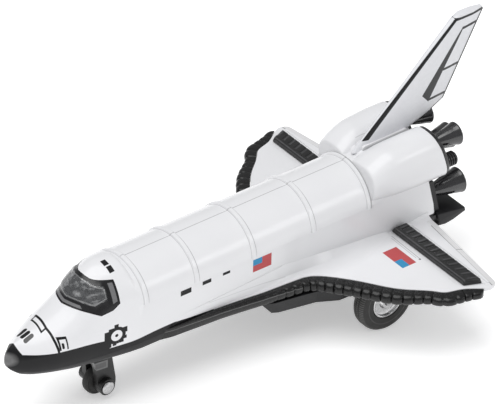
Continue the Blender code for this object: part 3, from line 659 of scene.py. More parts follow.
def wing_marks(point, d, y, z):
    """The spray under the glove, the patch on the port wing, and the elevons' edges, cut lines and rivet."""
    wide, off_top = y.size(), -4.3 - z
    edge = (0.0 - side_of(d, wide, (163.7, 58.6), (168.8, 19.0))).most(off_top)
    cut = nearest(line, d, wide, SCRIBED_LINES).most(off_top)
    rivet = (length_of(d - 152.9, wide - 32.3) - 0.42).most(off_top)
    return [((z + 4.3).most(d - 118.0).filled(), INK),
            *patch(d, y, WING_PATCH, -4.6 - z),
            (edge.filled(0.4) * (0.1 + grain(point, 2.0) * 0.3), (0.5, 0.49, 0.46)),
            (cut.filled(0.2) * 0.75, GREY_INK_AND_SHADE), (rivet.filled(0.2) * 0.8, INK)]


edge_curve = smooth_rows(WING_EDGE, 1.0, (0, 1, 2))
outline = [(d, y) for d, y, _ in edge_curve]
outline += [*TIP_ROUND, WING_TIP, WING_REAR, (WING_ROOT_D, 10.0), (62.0, 10.0)]
wing = loft("casting_wing_port", [[(d, y, z) for d, y in outline] for z in (PARTING, WING_TOP)])
round_edges(wing, 0.3, where=lambda d, y, z: z > -4.1 and y > 12 and d > 64)
both_sides(wing, "white_enamel", "body_casting", enamel, "wing_port_enamel", wing_marks)

# Painted shade lines along the fairing's creases: start and end (both d, z), and width
CREASE_SHADE_LINES = (
    ((70.0, -0.4), (98.0, 1.1), 0.12), ((98.0, 1.1), (107.0, 1.7), 0.12), ((76.0, -0.6), (98.0, -1.65), 0.12),
    ((98.0, -1.65), (108.0, -2.75), 0.12),
)


def fairing_marks(point, d, y, z):
    """The black spray, which just catches the fairing's front, and grey lines painted as shade along the creases."""
    return [((z - spray_edge(d)).most(d - 84.0).filled(), INK),
            (nearest(line, d, z, CREASE_SHADE_LINES).filled(0.3) * 0.35, GREY_INK_AND_SHADE)]


rings = []
for d, root_z, crease, outer, hollow, lean in smooth_rows(FAIRING, 1.6, (0, 1, 3)):
    crease_y = FAIRING_INNER + max(outer - FAIRING_INNER, 0.0) * 0.28
    bend = WING_TOP + (crease - WING_TOP) * (0.5 - 2.0 * hollow)
    points = ((crease_y, crease), ((crease_y + outer) / 2, bend), (outer, min(root_z, WING_TOP + 0.02)))
    curve = [(min(FAIRING_INNER - 0.03, outer), root_z)]
    for step in range(9):
        u = step / 8
        curve.append([(1 - u) ** 2 * a + 2 * u * (1 - u) * b + u * u * c for a, b, c in zip(*points)])
    ring = [(12.0, WING_TOP - 0.6), (12.0, root_z), *curve, (outer, WING_TOP - 0.6)]
    rings.append([(d + lean * (z - WING_TOP), y, z) for y, z in ring])
fairing = loft("casting_fairing_port", rings)
dressed(fairing, "airframe", enamel("fairing_port_enamel", fairing_marks), ["body_casting"],
        smooth=20)
fairing_starboard = other_side(fairing, "casting_fairing_starboard")
dressed(fairing_starboard, "airframe", enamel("fairing_starboard_enamel", fairing_marks),
        ["body_casting"])

# The elevons' raised top panels, and a low lip between them and the bar
PANEL_PLAN = ((163.0, 15.6), (163.0, 56.4), (163.6, 57.0), (166.3, 35.3), (168.2, 19.4), (168.6, 15.6))
LIP_PLAN = ((BAR_REAR + 0.35, 14.4), (BAR_REAR + 0.35, 56.6), (BAR_REAR + 1.0, 56.6), (BAR_REAR + 1.0, 14.4))
raised = []
for name, plan, rise, width in (("casting_panels_port", PANEL_PLAN, 0.36, 0.14),
                                ("casting_lip_port", LIP_PLAN, 0.35, 0.2)):
    raised.append(loft(name, [[(d, y, z) for d, y in plan] for z in (WING_TOP - 0.2, WING_TOP + rise)]))
    round_edges(raised[-1], width, where=lambda d, y, z: z > WING_TOP)
for piece in raised:
    both_sides(piece, "white_enamel", "body_casting", enamel, piece.name + "_enamel")

# The elevons' lower half, thin at the rear and the tip
rings = []
for y, rear, hinge_z in ((14.1, WING_ROOT_D, -7.2), (WING_REAR[1], WING_REAR[0], -7.2),
                         (WING_TIP[1], WING_TIP[0], -6.0), (58.3, 164.4, -5.5)):
    ring = [(ELEVON_FRONT, WING_TOP - 0.3), (rear, WING_TOP - 0.3), (rear, PARTING), (ELEVON_FRONT, hinge_z)]
    rings.append([(d, y, z) for d, z in ring])
elevon = loft("casting_elevons_port", rings)
round_edges(elevon, 0.25, where=lambda d, y, z: z < -4.6)
both_sides(elevon, "white_enamel", "body_casting", enamel, "elevon_port_enamel")


# Body casting, pods: two smooth rounded pods over the tail, cast in one with the fuselage.
# Their front and rear edges are softly rounded under the enamel.
POD_FOOT, POD_LEAN = 181.3, 0.31
# d, outer y, top z, inner y, bottom z
POD_SECTIONS = (
    (145.0, 15.6, 24.4, 0.6, 11.6), (149.0, 16.5, 26.8, 0.8, 11.0),
    (155.0, 17.2, 28.8, 1.2, 10.4), (165.0, 17.5, 29.5, 1.6, 10.0),
)
POD_END = POD_SECTIONS[-1][1:]
POD_STEPS = 56


def pod_marks(point, d, y, z):
    """Painted shade along the pod's foot and under its lower edge, a painted shadow line at its front, and a fine
    line beside the fin.
    """
    wide = y.size()
    # Painted shade: darker towards the pod's foot, a grey line under its lower edge and one at its front.
    foot = ((14.6 - z) * 0.3).clamped() * (wide - 13.0).clamped()
    edge = (z - 12.6).most(16.4 - wide)
    front = (d - 145.3).most(10.4 - z)
    seat = line(d, wide, (152.0, 3.9), (167.8, 3.0), 0.13)
    return [(foot * 0.45, (0.3, 0.3, 0.31)), (edge.filled(0.4) * 0.55, (0.2, 0.2, 0.2)),
            (front.filled(0.3) * 0.12, GREY_INK_AND_SHADE), (seat.filled(0.25) * 0.45, GREY_INK_AND_SHADE)]


def pod_ring(d, outer, top, inner, bottom, lean=0.0, shrink=0.0):
    """One section of the port pod, a rounded oval in the cross plane."""
    middle_y, half_y = (outer + inner) / 2, (outer - inner) / 2 - shrink
    middle_z, half_z = (top + bottom) / 2, (top - bottom) / 2 - shrink
    ring = []
    for step in range(POD_STEPS):
        turn = 2 * pi * step / POD_STEPS
        y = middle_y + half_y * abs(cos(turn)) ** 0.8 * (1 if cos(turn) > 0 else -1)
        z = middle_z + half_z * abs(sin(turn)) ** 0.8 * (1 if sin(turn) > 0 else -1)
        ring.append((d - lean * z, y, z))
    return ring


rings = [pod_ring(*section) for section in smooth_rows(POD_SECTIONS, 1.0, (0, 1, 2))]
for step in range(6):
    turn = pi / 2 * step / 5
    rings.append(pod_ring(POD_FOOT - 0.6 * (1 - sin(turn)), *POD_END, lean=POD_LEAN, shrink=0.5 * (1 - cos(turn))))
pod = loft("casting_pod_port", rings)
round_edges(pod, 0.9, where=lambda d, y, z: d < 146)
both_sides(pod, "white_enamel", "body_casting", enamel, "pod_port_enamel", pod_marks)


# Cockpit glass: one smoked clear moulding let into the casting. The panes bulge out of a flat
# flange, and the frame is printed on it in thick glossy black.
PANE_BULGE, GLASS_WALL = 0.45, 0.9
ROOF_D, ROOF_Z, ROOF_ROUND = 35.0, 23.0, 1.8


def band_distances(d, y, z):
    """Distances outside the sill, the chin, the rear edge and the roof's edge of the band."""
    sill = (SILL_LEVEL + y * SILL_RISE - d * SILL_FALL - z) * (1.0 / hypot(1.0, SILL_FALL, SILL_RISE))
    chin = side_of(d, z, WINDOW_REAR[0], CHIN)
    rear = side_of(d, z, WINDOW_REAR[1], WINDOW_REAR[0])
    below, ahead = ROOF_Z - z, ROOF_D - d
    if isinstance(z, Wire):
        return sill, chin, rear, ROOF_ROUND - length_of(below.most(0.0), ahead.most(0.0))
    return sill, chin, rear, ROOF_ROUND - hypot(max(below, 0.0), max(ahead, 0.0))


def pane_distance(d, y, z):
    """Distance outside the bulging pane's edge, for numbers or for shader values."""
    sill, chin, rear, roof = band_distances(d, y, z)
    if isinstance(d, Wire):
        return (sill + 2.5).most(chin + 3.5).most(rear + 4.0).most(roof + 1.5 + (z - 20.6).most(0.0))
    return max(sill + 2.5, chin + 3.5, rear + 4.0, roof + 1.5 + max(z - 20.6, 0.0))


glass_rows = smooth_rows([row for row in NOSE_SECTIONS if 16.0 < row[0] < 46.0], 0.45)
glass = loft("window_glass", [hull_ring(*row) for row in glass_rows])
glass.data.materials.append(None)
glass.data.materials.append(None)
carve(glass, window_tool(0.25), "INTERSECT")
edit_only(glass, "DESELECT")
bpy.ops.mesh.select_mode(type="FACE")
mesh = bmesh.from_edit_mesh(glass.data)
for face in mesh.faces:
    face.select_set(face.material_index == 1)
bpy.ops.mesh.delete(type="FACE")
bpy.ops.object.mode_set(mode="OBJECT")
for corner in glass.data.vertices:
    d, y, z = measured(corner.co)
    share = min(max((0.3 - pane_distance(d, abs(y), z)) / 0.9, 0.0), 1.0)
    corner.co += corner.normal * PANE_BULGE * ease(share) * MM
wall = glass.modifiers.new("wall", "SOLIDIFY")
wall.thickness = GLASS_WALL * MM
wall.offset = -1.0
bpy.ops.object.modifier_apply(modifier=wall.name)
glass.data.materials.clear()

window, shader = blank("smoked_glass_and_frame")
point, d, y, z = measures()
wide = y.size()
sill, chin, rear, roof = band_distances(d, wide, z)
pane = pane_distance(d, wide, z)
flange = ((sill + 1.1).size() - 0.48).most(d - 27.6).least(
    ((rear + 1.6).size() - 0.8).most(chin + 1.2).most(roof + 1.0))
clear = pane.filled(0.1)
grey = flange.filled(0.1)
# The pale grey line round each pane's edge is a painted highlight, and the pale streaks across the panes are painted
# reflections.
rim = ((pane + 0.45).size() - 0.16).filled(0.2)
slanted = Wire.node("ShaderNodeMapping", None, {
    0: point, 2: (0.0, radians(50), radians(20)), 3: (0.25, 1.0, 1.6)})
reflection_streaks = Wire.node("ShaderNodeTexNoise", None, {
    "Vector": slanted, "Scale": 420.0, "Detail": 3.0, "Roughness": 0.6})
painted_reflection = ((reflection_streaks - 0.5) * 4.5).clamped()
smoke_and_reflection = tint(painted_reflection, (0.1, 0.103, 0.107), (0.36, 0.365, 0.37))
colour = tint(clear, tint(grey, INK, (0.17, 0.17, 0.175)), tint(rim * 0.6, smoke_and_reflection, (0.4, 0.4, 0.4)))
feed(shader, Base_Color=colour, Alpha=1.0 - clear * (0.42 - painted_reflection * 0.3) * (1.0 - rim * 0.6),
     Roughness=0.1 + (1.0 - clear) * 0.15 + grain(point, 1.2) * 0.05, Specular_IOR_Level=0.5,
     Coat_Weight=clear * 0.6, Coat_Roughness=0.03, Normal=dents(grain(point, 4.0, 1.0), 0.05, 0.4))
dressed(glass, "airframe", window, ["cockpit_glass"], smooth=50)


# Cockpit tub: a dark moulded tray with a dash and two seats, seen dimly through the glass.
def moulded_black(name, shade=1.0, rough=0.26, sandy=0.0, gloss=0.25):
    """Shiny black styrene, with faint flow marks and a little dust."""
    made, shader = blank(name)
    point = measures()[0]
    dust = grain(point, 9.0, 4.0)
    feed(shader, Base_Color=tint(dust, (0.008 * shade,) * 3, (0.02 * shade, 0.02 * shade, 0.022 * shade)),
         Roughness=rough + grain(point, 2.5) * 0.16, Specular_IOR_Level=gloss,
         Normal=dents(grain(point, 1.1, 2.0), 0.03 + sandy, 0.5))
    return made


def repaint(node, material):
    """Give a CAD node that keeps its own shape a better material."""
    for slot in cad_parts[node].material_slots:
        slot.material = material


repaint("cockpit_tub", moulded_black("cockpit_tub_plastic", 4.0, 0.45, 0.05))


# Tail fin: a separate white plastic moulding pushed into the casting, whose cast web and foot
# are made here too. Its rudder, its edges and the speed-brake hinge are pad printed in black.
FIN_LEVELS = ((24.4, 147.3, 169.6), (26.0, 148.9, 172.4), (29.6, 152.8, 182.2), (32.2, 155.6, 187.2),
              (63.0, 188.8, 203.2), (64.5, 191.6, 202.4))
FIN_HALF = 1.5
# Level printed bands across the rudder and the tip: z, half width, front end's d
FIN_BANDS = ((63.3, 0.5, 190.2), (58.9, 0.55, 193.4), (44.6, 0.5, 185.8), (34.4, 0.5, 179.4))
# Share of the chord, share of the half thickness
FIN_SHAPE = ((0.0, 0.12), (0.004, 0.24), (0.014, 0.4), (0.034, 0.58), (0.065, 0.76), (0.12, 0.92), (0.2, 1.0),
             (0.4, 0.99), (0.62, 0.95), (0.82, 0.66), (0.985, 0.38), (1.0, 0.24))


def fin_marks(d, z):
    """Distance to the printed lines of the fin's side."""
    leading = side_of(d, z, (155.6, 32.2), (188.8, 63.0))
    nose_line = ((leading + 0.95).size() - (1.1 - z * 0.0097)).most(28.0 - z).most(z - 63.4)
    trailing = side_of(d, z, (203.2, 63.0), (187.2, 32.2))
    rear_line = ((trailing + 0.35).size() - 0.55).most(z - 63.4).most(32.2 - z)
    foot = line(d, z, (187.4, 32.7), (181.5, 29.6), 0.8)
    bands = [((z - level).size() - half).most(front - d) for level, half, front in FIN_BANDS]
    wedge = shape(d, z, ((193.8, 59.2), (179.7, 34.1), (177.0, 37.2))).most(z - 59.0)
    return reduce(Wire.least, [nose_line, rear_line, foot, wedge - 0.25, *bands])


rings = []
for z, leading, trailing in FIN_LEVELS:
    chord = trailing - leading
    port = [(leading + chord * share, FIN_HALF * width, z) for share, width in FIN_SHAPE]
    rings.append(port + [(d, -y, z) for d, y, z in reversed(port)])
fin = loft("fin_moulding", rings)
saddle = side_tool([(146.9, 20.0), (147.2, 22.6), (149.0, 24.6), (151.5, 25.4), (170.6, 25.6), (171.0, 20.0)], 4.6)
saddle.name = "casting_saddle"
round_edges(saddle, 0.5, angle=15, where=lambda d, y, z: z > 22.0)
dressed(saddle, "airframe", enamel("saddle_enamel"), ["body_casting"])
plinth = side_tool([(150.4, 24.2), (150.7, 26.2), (151.5, 26.7), (169.6, 26.9), (170.4, 26.1), (170.2, 24.2)], 2.3)
plinth.name = "casting_fin_foot"
round_edges(plinth, 0.45, angle=20, where=lambda d, y, z: z > 24.2)
dressed(plinth, "airframe", enamel(
    "fin_foot_enamel", lambda point, d, y, z: [((2.0 - y.size()).filled(0.2) * 0.4, GREY_INK_AND_SHADE)]), ["body_casting"])
fin_white, shader = blank("fin_plastic")
point, d, y, z = measures()
printed = fin_marks(d, z).filled()
feed(shader, Base_Color=tint(printed, tint(grain(point, 1.5, 3.0), (0.72, 0.725, 0.75), (0.8, 0.805, 0.83)), INK),
     Roughness=0.34 + grain(point, 2.0) * 0.12, Specular_IOR_Level=0.5,
     Normal=dents(grain(point, 0.8, 3.0), 0.04, 0.5))
dressed(fin, "airframe", fin_white, ["tail_fin"], smooth=40)


# Base: belly and wing undersides in one black moulding, screwed up under the casting.
TIP_RISE_START, TIP_BOTTOM = 40.0, -6.8
base = loft("base_hull", fuselage_rings())
cut_level(base, PARTING - 0.06, keep_above=False)
dressed(base, "airframe", moulded_black("base_hull_plastic"), ["belly_base"])


def underside(y):
    """Height of the wing's underside, which slopes up towards the tip."""
    return KEEL + max(0.0, y - TIP_RISE_START) * (TIP_BOTTOM - KEEL) / (60.0 - TIP_RISE_START)


def turned(name, profile, axis, d, y, z, steps=72):
    """Spin a closed profile of (along, radius) points about a lengthwise ("x") or crosswise ("y") axis."""
    select_only()
    bpy.ops.mesh.primitive_circle_add(vertices=len(profile), radius=MM)
    piece = bpy.context.object
    piece.name = name
    bpy.ops.object.mode_set(mode="EDIT")
    mesh = bmesh.from_edit_mesh(piece.data)
    for corner, (along, radius) in zip(mesh.verts, profile):
        corner.co = place(along, y, z + radius) if axis == "x" else place(d, along, z + radius)
    bmesh.update_edit_mesh(piece.data)
    bpy.ops.mesh.select_all(action="SELECT")
    bpy.ops.mesh.spin(steps=steps, angle=2 * pi, center=place(d, y, z),
                      axis=(1, 0, 0) if axis == "x" else (0, 1, 0))
    close_up(piece)
    return piece


MAIN_AXLE_D, MAIN_AXLE_Z = 141.7, 11.6 - NOSE_HEIGHT
hinge = ELEVON_FRONT - GAP
outline = [(d, y - 0.1) for d, y, _ in edge_curve] + [(hinge, 56.9), (hinge, 10.0), (62.0, 10.0)]
under = loft("base_wing_port", [[(d, y, underside(y)) for d, y in outline],
                                [(d, y, PARTING - GAP) for d, y in outline]])
well = [(23.4, 0.01), (23.4, 12.2), (30.6, 12.2), (30.6, 0.01)]
carve(under, turned("tool", well, "y", MAIN_AXLE_D, 0, MAIN_AXLE_Z))
both_sides(under, "black_plastic", "belly_base", moulded_black, "base_wing_port_plastic")


# Leading edges: a fluted black strip round the front of each wing, part of the base moulding.
# Narrow grooves cross it every few millimetres and its outer corners are rounded.
RIB_PITCH, STRIP_STEP = 3.4, 0.32


def strip_black(name):
    """Shiny black styrene with a painted highlight: a grey line where the casting ends and the strip begins."""
    made, shader = blank(name)
    point, d, y, z = measures()
    # The grey line is a painted highlight along the parting edge.
    painted_highlight = ((z + 5.3).size() - 0.13).most(d - 111.0).filled(0.2) * (0.4 + grain(point, 6.0) * 0.8)
    feed(shader, Base_Color=tint(painted_highlight, tint(grain(point, 9.0, 4.0), (0.004,) * 3, (0.012,) * 3), (0.14,) * 3),
         Roughness=0.16 + grain(point, 1.6) * 0.2, Specular_IOR_Level=0.38,
         Normal=dents(grain(point, 1.1, 2.0), 0.09, 0.6))
    return made


strip_path = smooth_rows(((56.0, 12.7, 0.3), *WING_EDGE), STRIP_STEP, (0, 1, 2))
travel = 0.0
rings = []
for index, (d, y, width) in enumerate(strip_path):
    out_d, out_y = outward(strip_path, index)
    if index:
        travel += hypot(d - strip_path[index - 1][0], y - strip_path[index - 1][1])
    phase = (travel / RIB_PITCH) % 1.0
    depth = min(max((width - 2.3) / 1.2, 0.0), 1.0)
    groove = max(0.0, 1.0 - abs(phase - 0.5) / 0.11) * depth
    crown = 0.3 * abs(sin(pi * (phase - 0.5))) * depth
    reach = max(width - 0.3 * depth + crown - 0.6 * groove, 0.35)
    from_tip = (len(strip_path) - 1 - index) * STRIP_STEP
    reach = max(reach * sqrt(1.0 - max(0.0, 1.0 - from_tip / 1.5) ** 2), 0.35)
    low, high = underside(y), WING_TOP - 0.05 - 0.3 * groove
    tall = high - low
    section = [(0.0, low), (reach * 0.7, low), (reach * 0.9, low + tall * 0.1), (reach * 0.98, low + tall * 0.25),
               (reach, low + tall * 0.5), (reach * 0.97, low + tall * 0.72), (reach * 0.88, low + tall * 0.87),
               (reach * 0.72, high - tall * 0.03), (reach * 0.5, high), (0.0, WING_TOP - 0.05)]
    rings.append([(d + out_d * (GAP + u), y + out_y * (GAP + u), z) for u, z in section])
strip = loft("leading_strip_port", rings)
both_sides(strip, "black_plastic", "leading_edge_port", strip_black, "strip_port_plastic", smooth=45)


# Wing bars: a raised black bar across each wing in front of the elevons, with fine cross ribs
# and chamfered edges.
BAR_RIBS, RIB_STEPS = 12, 16


def bar_length(d):
    """Length of the bar along its line at d, as its outer end is cut at a slant."""
    slant = (BAR_OUTER_REAR - BAR_OUTER_FRONT) * (d - BAR_FRONT) / (BAR_REAR - BAR_FRONT)
    return BAR_OUTER_FRONT - BAR_INNER + slant


rings = []
for step in range(BAR_RIBS * RIB_STEPS + 1):
    share = step / (BAR_RIBS * RIB_STEPS)
    phase = (step / RIB_STEPS) % 1.0
    dip = 0.35 * max(0.0, 1.0 - abs(phase - 0.87) / 0.13)
    end = min(1.0, share * 33 + 0.35, (1 - share) * 49 + 0.4)
    seat = WING_TOP + GAP
    top = seat + 1.9 * end - dip
    shoulder = seat + 1.45 * end
    section = [(BAR_FRONT, seat), (BAR_FRONT, shoulder), (BAR_FRONT + 0.5, top + dip), (BAR_FRONT + 1.6, top + dip),
               (BAR_FRONT + 2.0, top), (BAR_REAR - 0.5, top), (BAR_REAR, top - 0.4), (BAR_REAR, seat)]
    rings.append([(d, BAR_INNER + bar_length(d) * share, z) for d, z in section])
bar = loft("wing_bar_port_ribbed", rings)


def bar_black(name):
    """Black styrene with painted highlights in pale grey along the ribs' crests and the front edge."""
    made, shader = blank(name)
    point, d, y, z = measures()
    share = (y.size() - BAR_INNER) / (BAR_OUTER_REAR - BAR_INNER + (d - BAR_REAR) * 0.42) * BAR_RIBS
    # Painted highlights: pale streaks on the ribs' crests and along the front edge.
    crest = ((share - 0.72).maths("FRACT") - 0.88).size() - 0.1
    sheen_and_wear = crest.most(BAR_FRONT + 1.9 - d).most(WING_TOP + 1.3 - z).filled(0.08) * 0.3
    edge = ((d - BAR_FRONT - 0.5).size() - 0.2).most(WING_TOP + 1.5 - z).filled(0.2) * 0.4
    painted_highlight = sheen_and_wear.most(edge) * (0.35 + grain(point, 3.0) * 0.9)
    feed(shader, Base_Color=tint(painted_highlight, tint(grain(point, 5.0, 4.0), (0.006,) * 3, (0.03,) * 3), (0.2, 0.2, 0.21)),
         Roughness=0.2 + grain(point, 1.8) * 0.2, Specular_IOR_Level=0.4,
         Normal=dents(grain(point, 1.1, 2.0), 0.05, 0.5))
    return made


both_sides(bar, "black_plastic", "wing_bar_port", bar_black, "bar_port_plastic", smooth=30)


# Rear end: the black bulkhead keeps its moulded shape, and the body flap under it is a moulding of
# its own. A plate and a drum of ribbed thrusters close the back of each pod.
repaint("engine_bulkhead", moulded_black("engine_bulkhead_plastic", 1.1, 0.3))
FLAP_OUTLINE = (
    (175.3, -4.9), (176.1, -8.0), (175.6, -9.8), (179.0, -10.4), (182.6, -9.9), (188.0, -8.2), (187.7, -6.6),
)
flap_piece = loft("flap_moulding", [[(d, y, z) for d, z in FLAP_OUTLINE] for y in (-14.4, 14.4)])
round_edges(flap_piece, 0.35, angle=20)
dressed(flap_piece, "airframe", moulded_black("flap_plastic"), ["body_flap"])
TAIL_Y, TAIL_Z, TAIL_SCALE = 9.6, 20.8, 0.95
DRUM_Y, DRUM_Z = 13.1, 15.9
for side, sign in (("port", 1), ("starboard", -1)):
    node = "pod_tail_" + side
    outline = []
    for _, y, z in pod_ring(0.0, *POD_END):
        outline.append((sign * (TAIL_Y + (y - TAIL_Y) * TAIL_SCALE), TAIL_Z + (z - TAIL_Z) * TAIL_SCALE))
    plate = loft(node + "_plate", [
        [(POD_FOOT + back - POD_LEAN * z, y, z) for y, z in outline] for back in (0.2, 1.4)])
    round_edges(plate, 0.3, where=lambda d, y, z: d + POD_LEAN * z > POD_FOOT + 1.2)
    ribs = [(177.6, 0.01), (177.6, 2.3)]
    for rib in range(4):
        start = 178.4 + rib
        ribs += [(start, 2.15), (start + 0.15, 2.6), (start + 0.6, 2.6), (start + 0.75, 2.15)]
    ribs += [(182.5, 2.1), (182.7, 1.7), (182.7, 0.01)]
    drum = turned(node + "_drum", ribs, "x", 180.0, sign * DRUM_Y, DRUM_Z, steps=48)
    for piece in (plate, drum):
        dressed(piece, "airframe",
                moulded_black(piece.name + "_plastic", 1.6, 0.2, gloss=0.45), [node])


# Nozzles: five turned bells pushed into the bulkhead and the pod tails, with rolled rims.
# Node, d of its root, flare and rim, y, z, radius of the rim
BELLS = (
    ("main_engine_top", 172.9, 178.8, 190.8, 0.0, 14.8, 4.7),
    ("main_engine_port", 176.5, 178.2, 190.0, 7.4, 0.3, 4.7),
    ("main_engine_starboard", 176.5, 178.2, 190.0, -7.4, 0.3, 4.7),
    ("oms_nozzle_port", 176.5, 178.0, 187.2, 8.1, 21.4, 4.2),
    ("oms_nozzle_starboard", 176.5, 178.0, 187.2, -8.1, 21.4, 4.2),
)


def bell_wall(front, length, radius, shares):
    """Points of a bell's flared wall at shares of its length."""
    return [(front + length * share, radius * (0.42 + 0.58 * share ** 0.82)) for share in shares]


for node, root, flare, rim, y, z, radius in BELLS:
    length = rim - flare
    profile = [(root, 0.01), (root, radius * 0.38)]
    profile += bell_wall(flare, length, radius, (0, 0.12, 0.25, 0.4, 0.55, 0.7, 0.84))
    profile += [(rim - 0.75, radius * 0.985), (rim - 0.55, radius), (rim - 0.2, radius), (rim, radius - 0.2),
                (rim, radius - 0.45), (rim - 0.3, radius - 0.8)]
    profile += [(d, outer - 0.9) for d, outer in bell_wall(flare, length, radius, (0.84, 0.6, 0.45, 0.3))]
    profile.append((flare + length * 0.25, 0.01))
    bell = turned(node + "_bell", profile, "x", root, y, z)
    dressed(bell, "airframe", moulded_black(node + "_plastic", 1.4, 0.1, gloss=0.9), [node],
            smooth=40)


# Nose gear: a black two-legged fork with a riveted steel pin and one small solid wheel.
fork_black, shader = blank("nose_gear_fork_plastic")
point, d, y, z = measures()
# Painted highlight: a paler grey panel on each leg's outer face, with a paler edge, where the leg's recess catches
# the light.
panel = box(d, z + (d - 37.5) * 0.1, 34.8, 40.4, -17.6, -14.4).most(3.0 - y.size())
panel_edge = (panel + 0.3).size() - 0.3
sheen_and_wear = panel.filled(0.3) * (0.2 + grain(point, 2.0) * 0.3) + panel_edge.filled(0.2) * 0.3
feed(shader, Base_Color=tint(sheen_and_wear, tint(grain(point, 5.0), (0.008,) * 3, (0.026,) * 3), (0.24,) * 3),
     Roughness=0.28 + grain(point, 2.5) * 0.16, Specular_IOR_Level=0.4,
     Normal=dents(grain(point, 1.1, 2.0), 0.05, 0.5))
repaint("nose_gear_fork", fork_black)


def bright_metal(name, shade, rough, dull):
    """Plated or polished metal, with fine scratches and faint tarnish."""
    made, shader = blank(name)
    point = measures()[0]
    tarnish = grain(point, 1.3, 4.0, 0.7)
    feed(shader, Base_Color=tint(tarnish, (shade * dull * 0.5,) * 3, (shade, shade, shade * 1.01)),
         Metallic=1.0, Roughness=rough + grain(point, 0.7, 3.0) * 0.2,
         Normal=dents(grain(point, 0.9, 3.0), 0.16, 0.8))
    return made


def rubber(name, tread=False):
    """Soft black tyre rubber with a dusty bloom, its tread blocks rubbed grey at the shoulders."""
    made, shader = blank(name)
    point, d, y, z = measures()
    colour = tint(grain(point, 3.0, 4.0), (0.012,) * 3, (0.035, 0.034, 0.032))
    if tread:
        up, along = z - MAIN_AXLE_Z, d - MAIN_AXLE_D
        radius = length_of(up, along)
        block = ((up.maths("ARCTAN2", along) * (44 / pi)).maths("FRACT") - 0.5).size() - 0.22
        sheen_and_wear = block.most(10.9 - radius).filled(0.15) * 0.8
        ring = ((radius - 8.6).size() - 0.16).filled(0.2) * 0.5
        colour = tint(sheen_and_wear.most(ring) * (0.4 + grain(point, 2.0) * 0.8), colour, (0.13, 0.13, 0.125))
    feed(shader, Base_Color=colour,
         Roughness=0.5 + grain(point, 0.9) * 0.25, Normal=dents(grain(point, 0.4, 2.0), 0.05, 0.6))
    return made


def mirrored(half):
    """A crosswise profile from its port half, which starts at the middle."""
    return [(-y, radius) for y, radius in reversed(half)] + half


NOSE_AXLE_D, NOSE_AXLE_Z = 39.25, 5.5 - NOSE_HEIGHT
PIN_PROFILE = [(6.6, 0.9), (6.6, 2.4), (6.75, 2.32), (6.98, 1.9), (7.09, 1.2), (7.1, 0.01)]
NOSE_WHEEL_PROFILE = [(0.7, 5.5), (1.1, 5.4), (1.6, 4.9), (1.45, 4.4), (1.7, 4.2), (1.7, 1.1)]
pin = turned("nose_pin", mirrored(PIN_PROFILE), "y", NOSE_AXLE_D, 0, NOSE_AXLE_Z, steps=48)
dressed(pin, "airframe", bright_metal("nose_pin_steel", 0.75, 0.18, 0.7), ["nose_axle_pin"])
nose_wheel = turned("nose_wheel_solid", mirrored(NOSE_WHEEL_PROFILE), "y", NOSE_AXLE_D, 0, NOSE_AXLE_Z, steps=48)
dressed(nose_wheel, "front_wheel", rubber("nose_wheel_rubber"), ["nose_wheel"])


# Motor and cover: the pull-back motor hangs under the belly behind a smooth black cover.
repaint("motor_cover", moulded_black("motor_cover_plastic", 0.9, 0.22))
repaint("pull_back_motor", moulded_black("motor_plastic", 1.2, 0.4))


# Rear wheels: chromed hubs and black tyres pressed on one steel axle.
repaint("main_axle", bright_metal("main_axle_steel", 0.7, 0.25, 0.7))
TYRE_PROFILE = (
    (24.0, 6.6), (24.0, 10.1), (24.35, 10.95), (25.0, 11.45), (25.8, 11.6), (26.1, 11.6), (26.2, 11.3), (26.5, 11.3),
    (26.6, 11.6), (27.4, 11.6), (27.5, 11.3), (27.8, 11.3), (27.9, 11.6), (28.2, 11.6), (29.0, 11.45),
    (29.65, 10.95), (30.0, 10.1), (30.0, 7.8), (29.8, 6.6),
)
HUB_PROFILE = (
    (24.0, 1.5), (24.0, 6.3), (29.7, 6.3), (29.85, 6.0), (29.7, 5.7), (28.8, 5.5), (28.5, 4.9), (28.7, 3.1),
    (29.3, 2.7), (29.8, 2.4), (29.8, 1.5),
)
for side, sign in (("port", 1), ("starboard", -1)):
    tyre, hub = [turned(name + side, [(sign * y, radius) for y, radius in profile], "y", MAIN_AXLE_D, 0, MAIN_AXLE_Z)
                 for name, profile in (("tyre_", TYRE_PROFILE), ("hub_", HUB_PROFILE))]
    dressed(tyre, "rear_wheels", rubber("tyre_rubber_" + side, tread=True), ["main_tyre_" + side])
    dressed(hub, "rear_wheels", bright_metal("hub_chrome_" + side, 0.9, 0.12, 0.75),
            ["main_hub_" + side])


# Stage: a plain pale floor, soft light from above and a wide pale surround.
select_only()
bpy.ops.mesh.primitive_plane_add(size=8.0, location=(0, 0, 0))
floor = bpy.context.object
floor.name = "studio_floor"
paper, shader = blank("studio_paper")
point = Wire.node("ShaderNodeTexCoord", output=3)
feed(shader, Base_Color=tint(grain(point, 60.0), (0.93, 0.93, 0.93), (0.95, 0.95, 0.95)), Roughness=0.7,
     Emission_Color=(1.0, 1.0, 1.0), Emission_Strength=0.4)
floor.data.materials.append(paper)


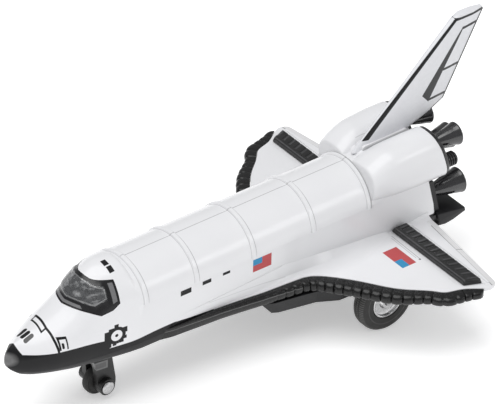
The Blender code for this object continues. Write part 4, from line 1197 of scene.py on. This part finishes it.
def softbox(name, position, size, power):
    """A square soft light that faces the model."""
    lamp = bpy.data.lights.new(name, "AREA")
    lamp.energy = power
    lamp.size = size
    holder = bpy.data.objects.new(name, lamp)
    bpy.context.scene.collection.objects.link(holder)
    holder.location = position
    holder.rotation_euler = (Vector((0, 0, 0.03)) - Vector(position)).to_track_quat("-Z", "Y").to_euler()


softbox("key_light", (0.35, 0.0, 1.4), 1.3, 15.4)
softbox("fill_light", (0.9, 1.3, 0.9), 1.2, 0.8)
softbox("rim_light", (-1.0, 1.44, 0.96), 0.55, 3.2)
surround = bpy.data.worlds.new("studio_surround")
bpy.context.scene.world = surround
surround.use_nodes = True
surround.node_tree.nodes["Background"].inputs["Color"].default_value = (0.98, 0.985, 1.0, 1.0)
surround.node_tree.nodes["Background"].inputs["Strength"].default_value = 0.38
bpy.context.scene.view_settings.view_transform = "Standard"

# Camera at the photograph's angle, with its slight roll. Its focal length is in the photograph's pixels
AZIMUTH, ELEVATION, ROLL, DISTANCE = radians(51.8), radians(35.5), radians(1.45), 2.0
FOCAL, FRAME_WIDTH, SENSOR = 5864.0, 503.0, 36.0
back = Vector((cos(AZIMUTH) * cos(ELEVATION), sin(AZIMUTH) * cos(ELEVATION), sin(ELEVATION)))
level = Vector((-sin(AZIMUTH), cos(AZIMUTH), 0.0))
lift = back.cross(level)
right = cos(ROLL) * level + sin(ROLL) * lift
up = -sin(ROLL) * level + cos(ROLL) * lift
target = Vector((0.0021, 0.0, 0.0404))
position = target + back * DISTANCE
aim = target + (right * 10.25 + up * 31.9) * (DISTANCE / FOCAL)
axis_z = (position - aim).normalized()
axis_x = up.cross(axis_z).normalized()
axis_y = axis_z.cross(axis_x)
camera = bpy.data.objects.new("camera", bpy.data.cameras.new("camera"))
bpy.context.scene.collection.objects.link(camera)
camera.data.sensor_width = SENSOR
camera.data.lens = FOCAL * SENSOR / FRAME_WIDTH
camera.data.clip_end = 20.0
camera.matrix_world = Matrix.Translation(position) @ Matrix((axis_x, axis_y, axis_z)).transposed().to_4x4()
bpy.context.scene.camera = camera
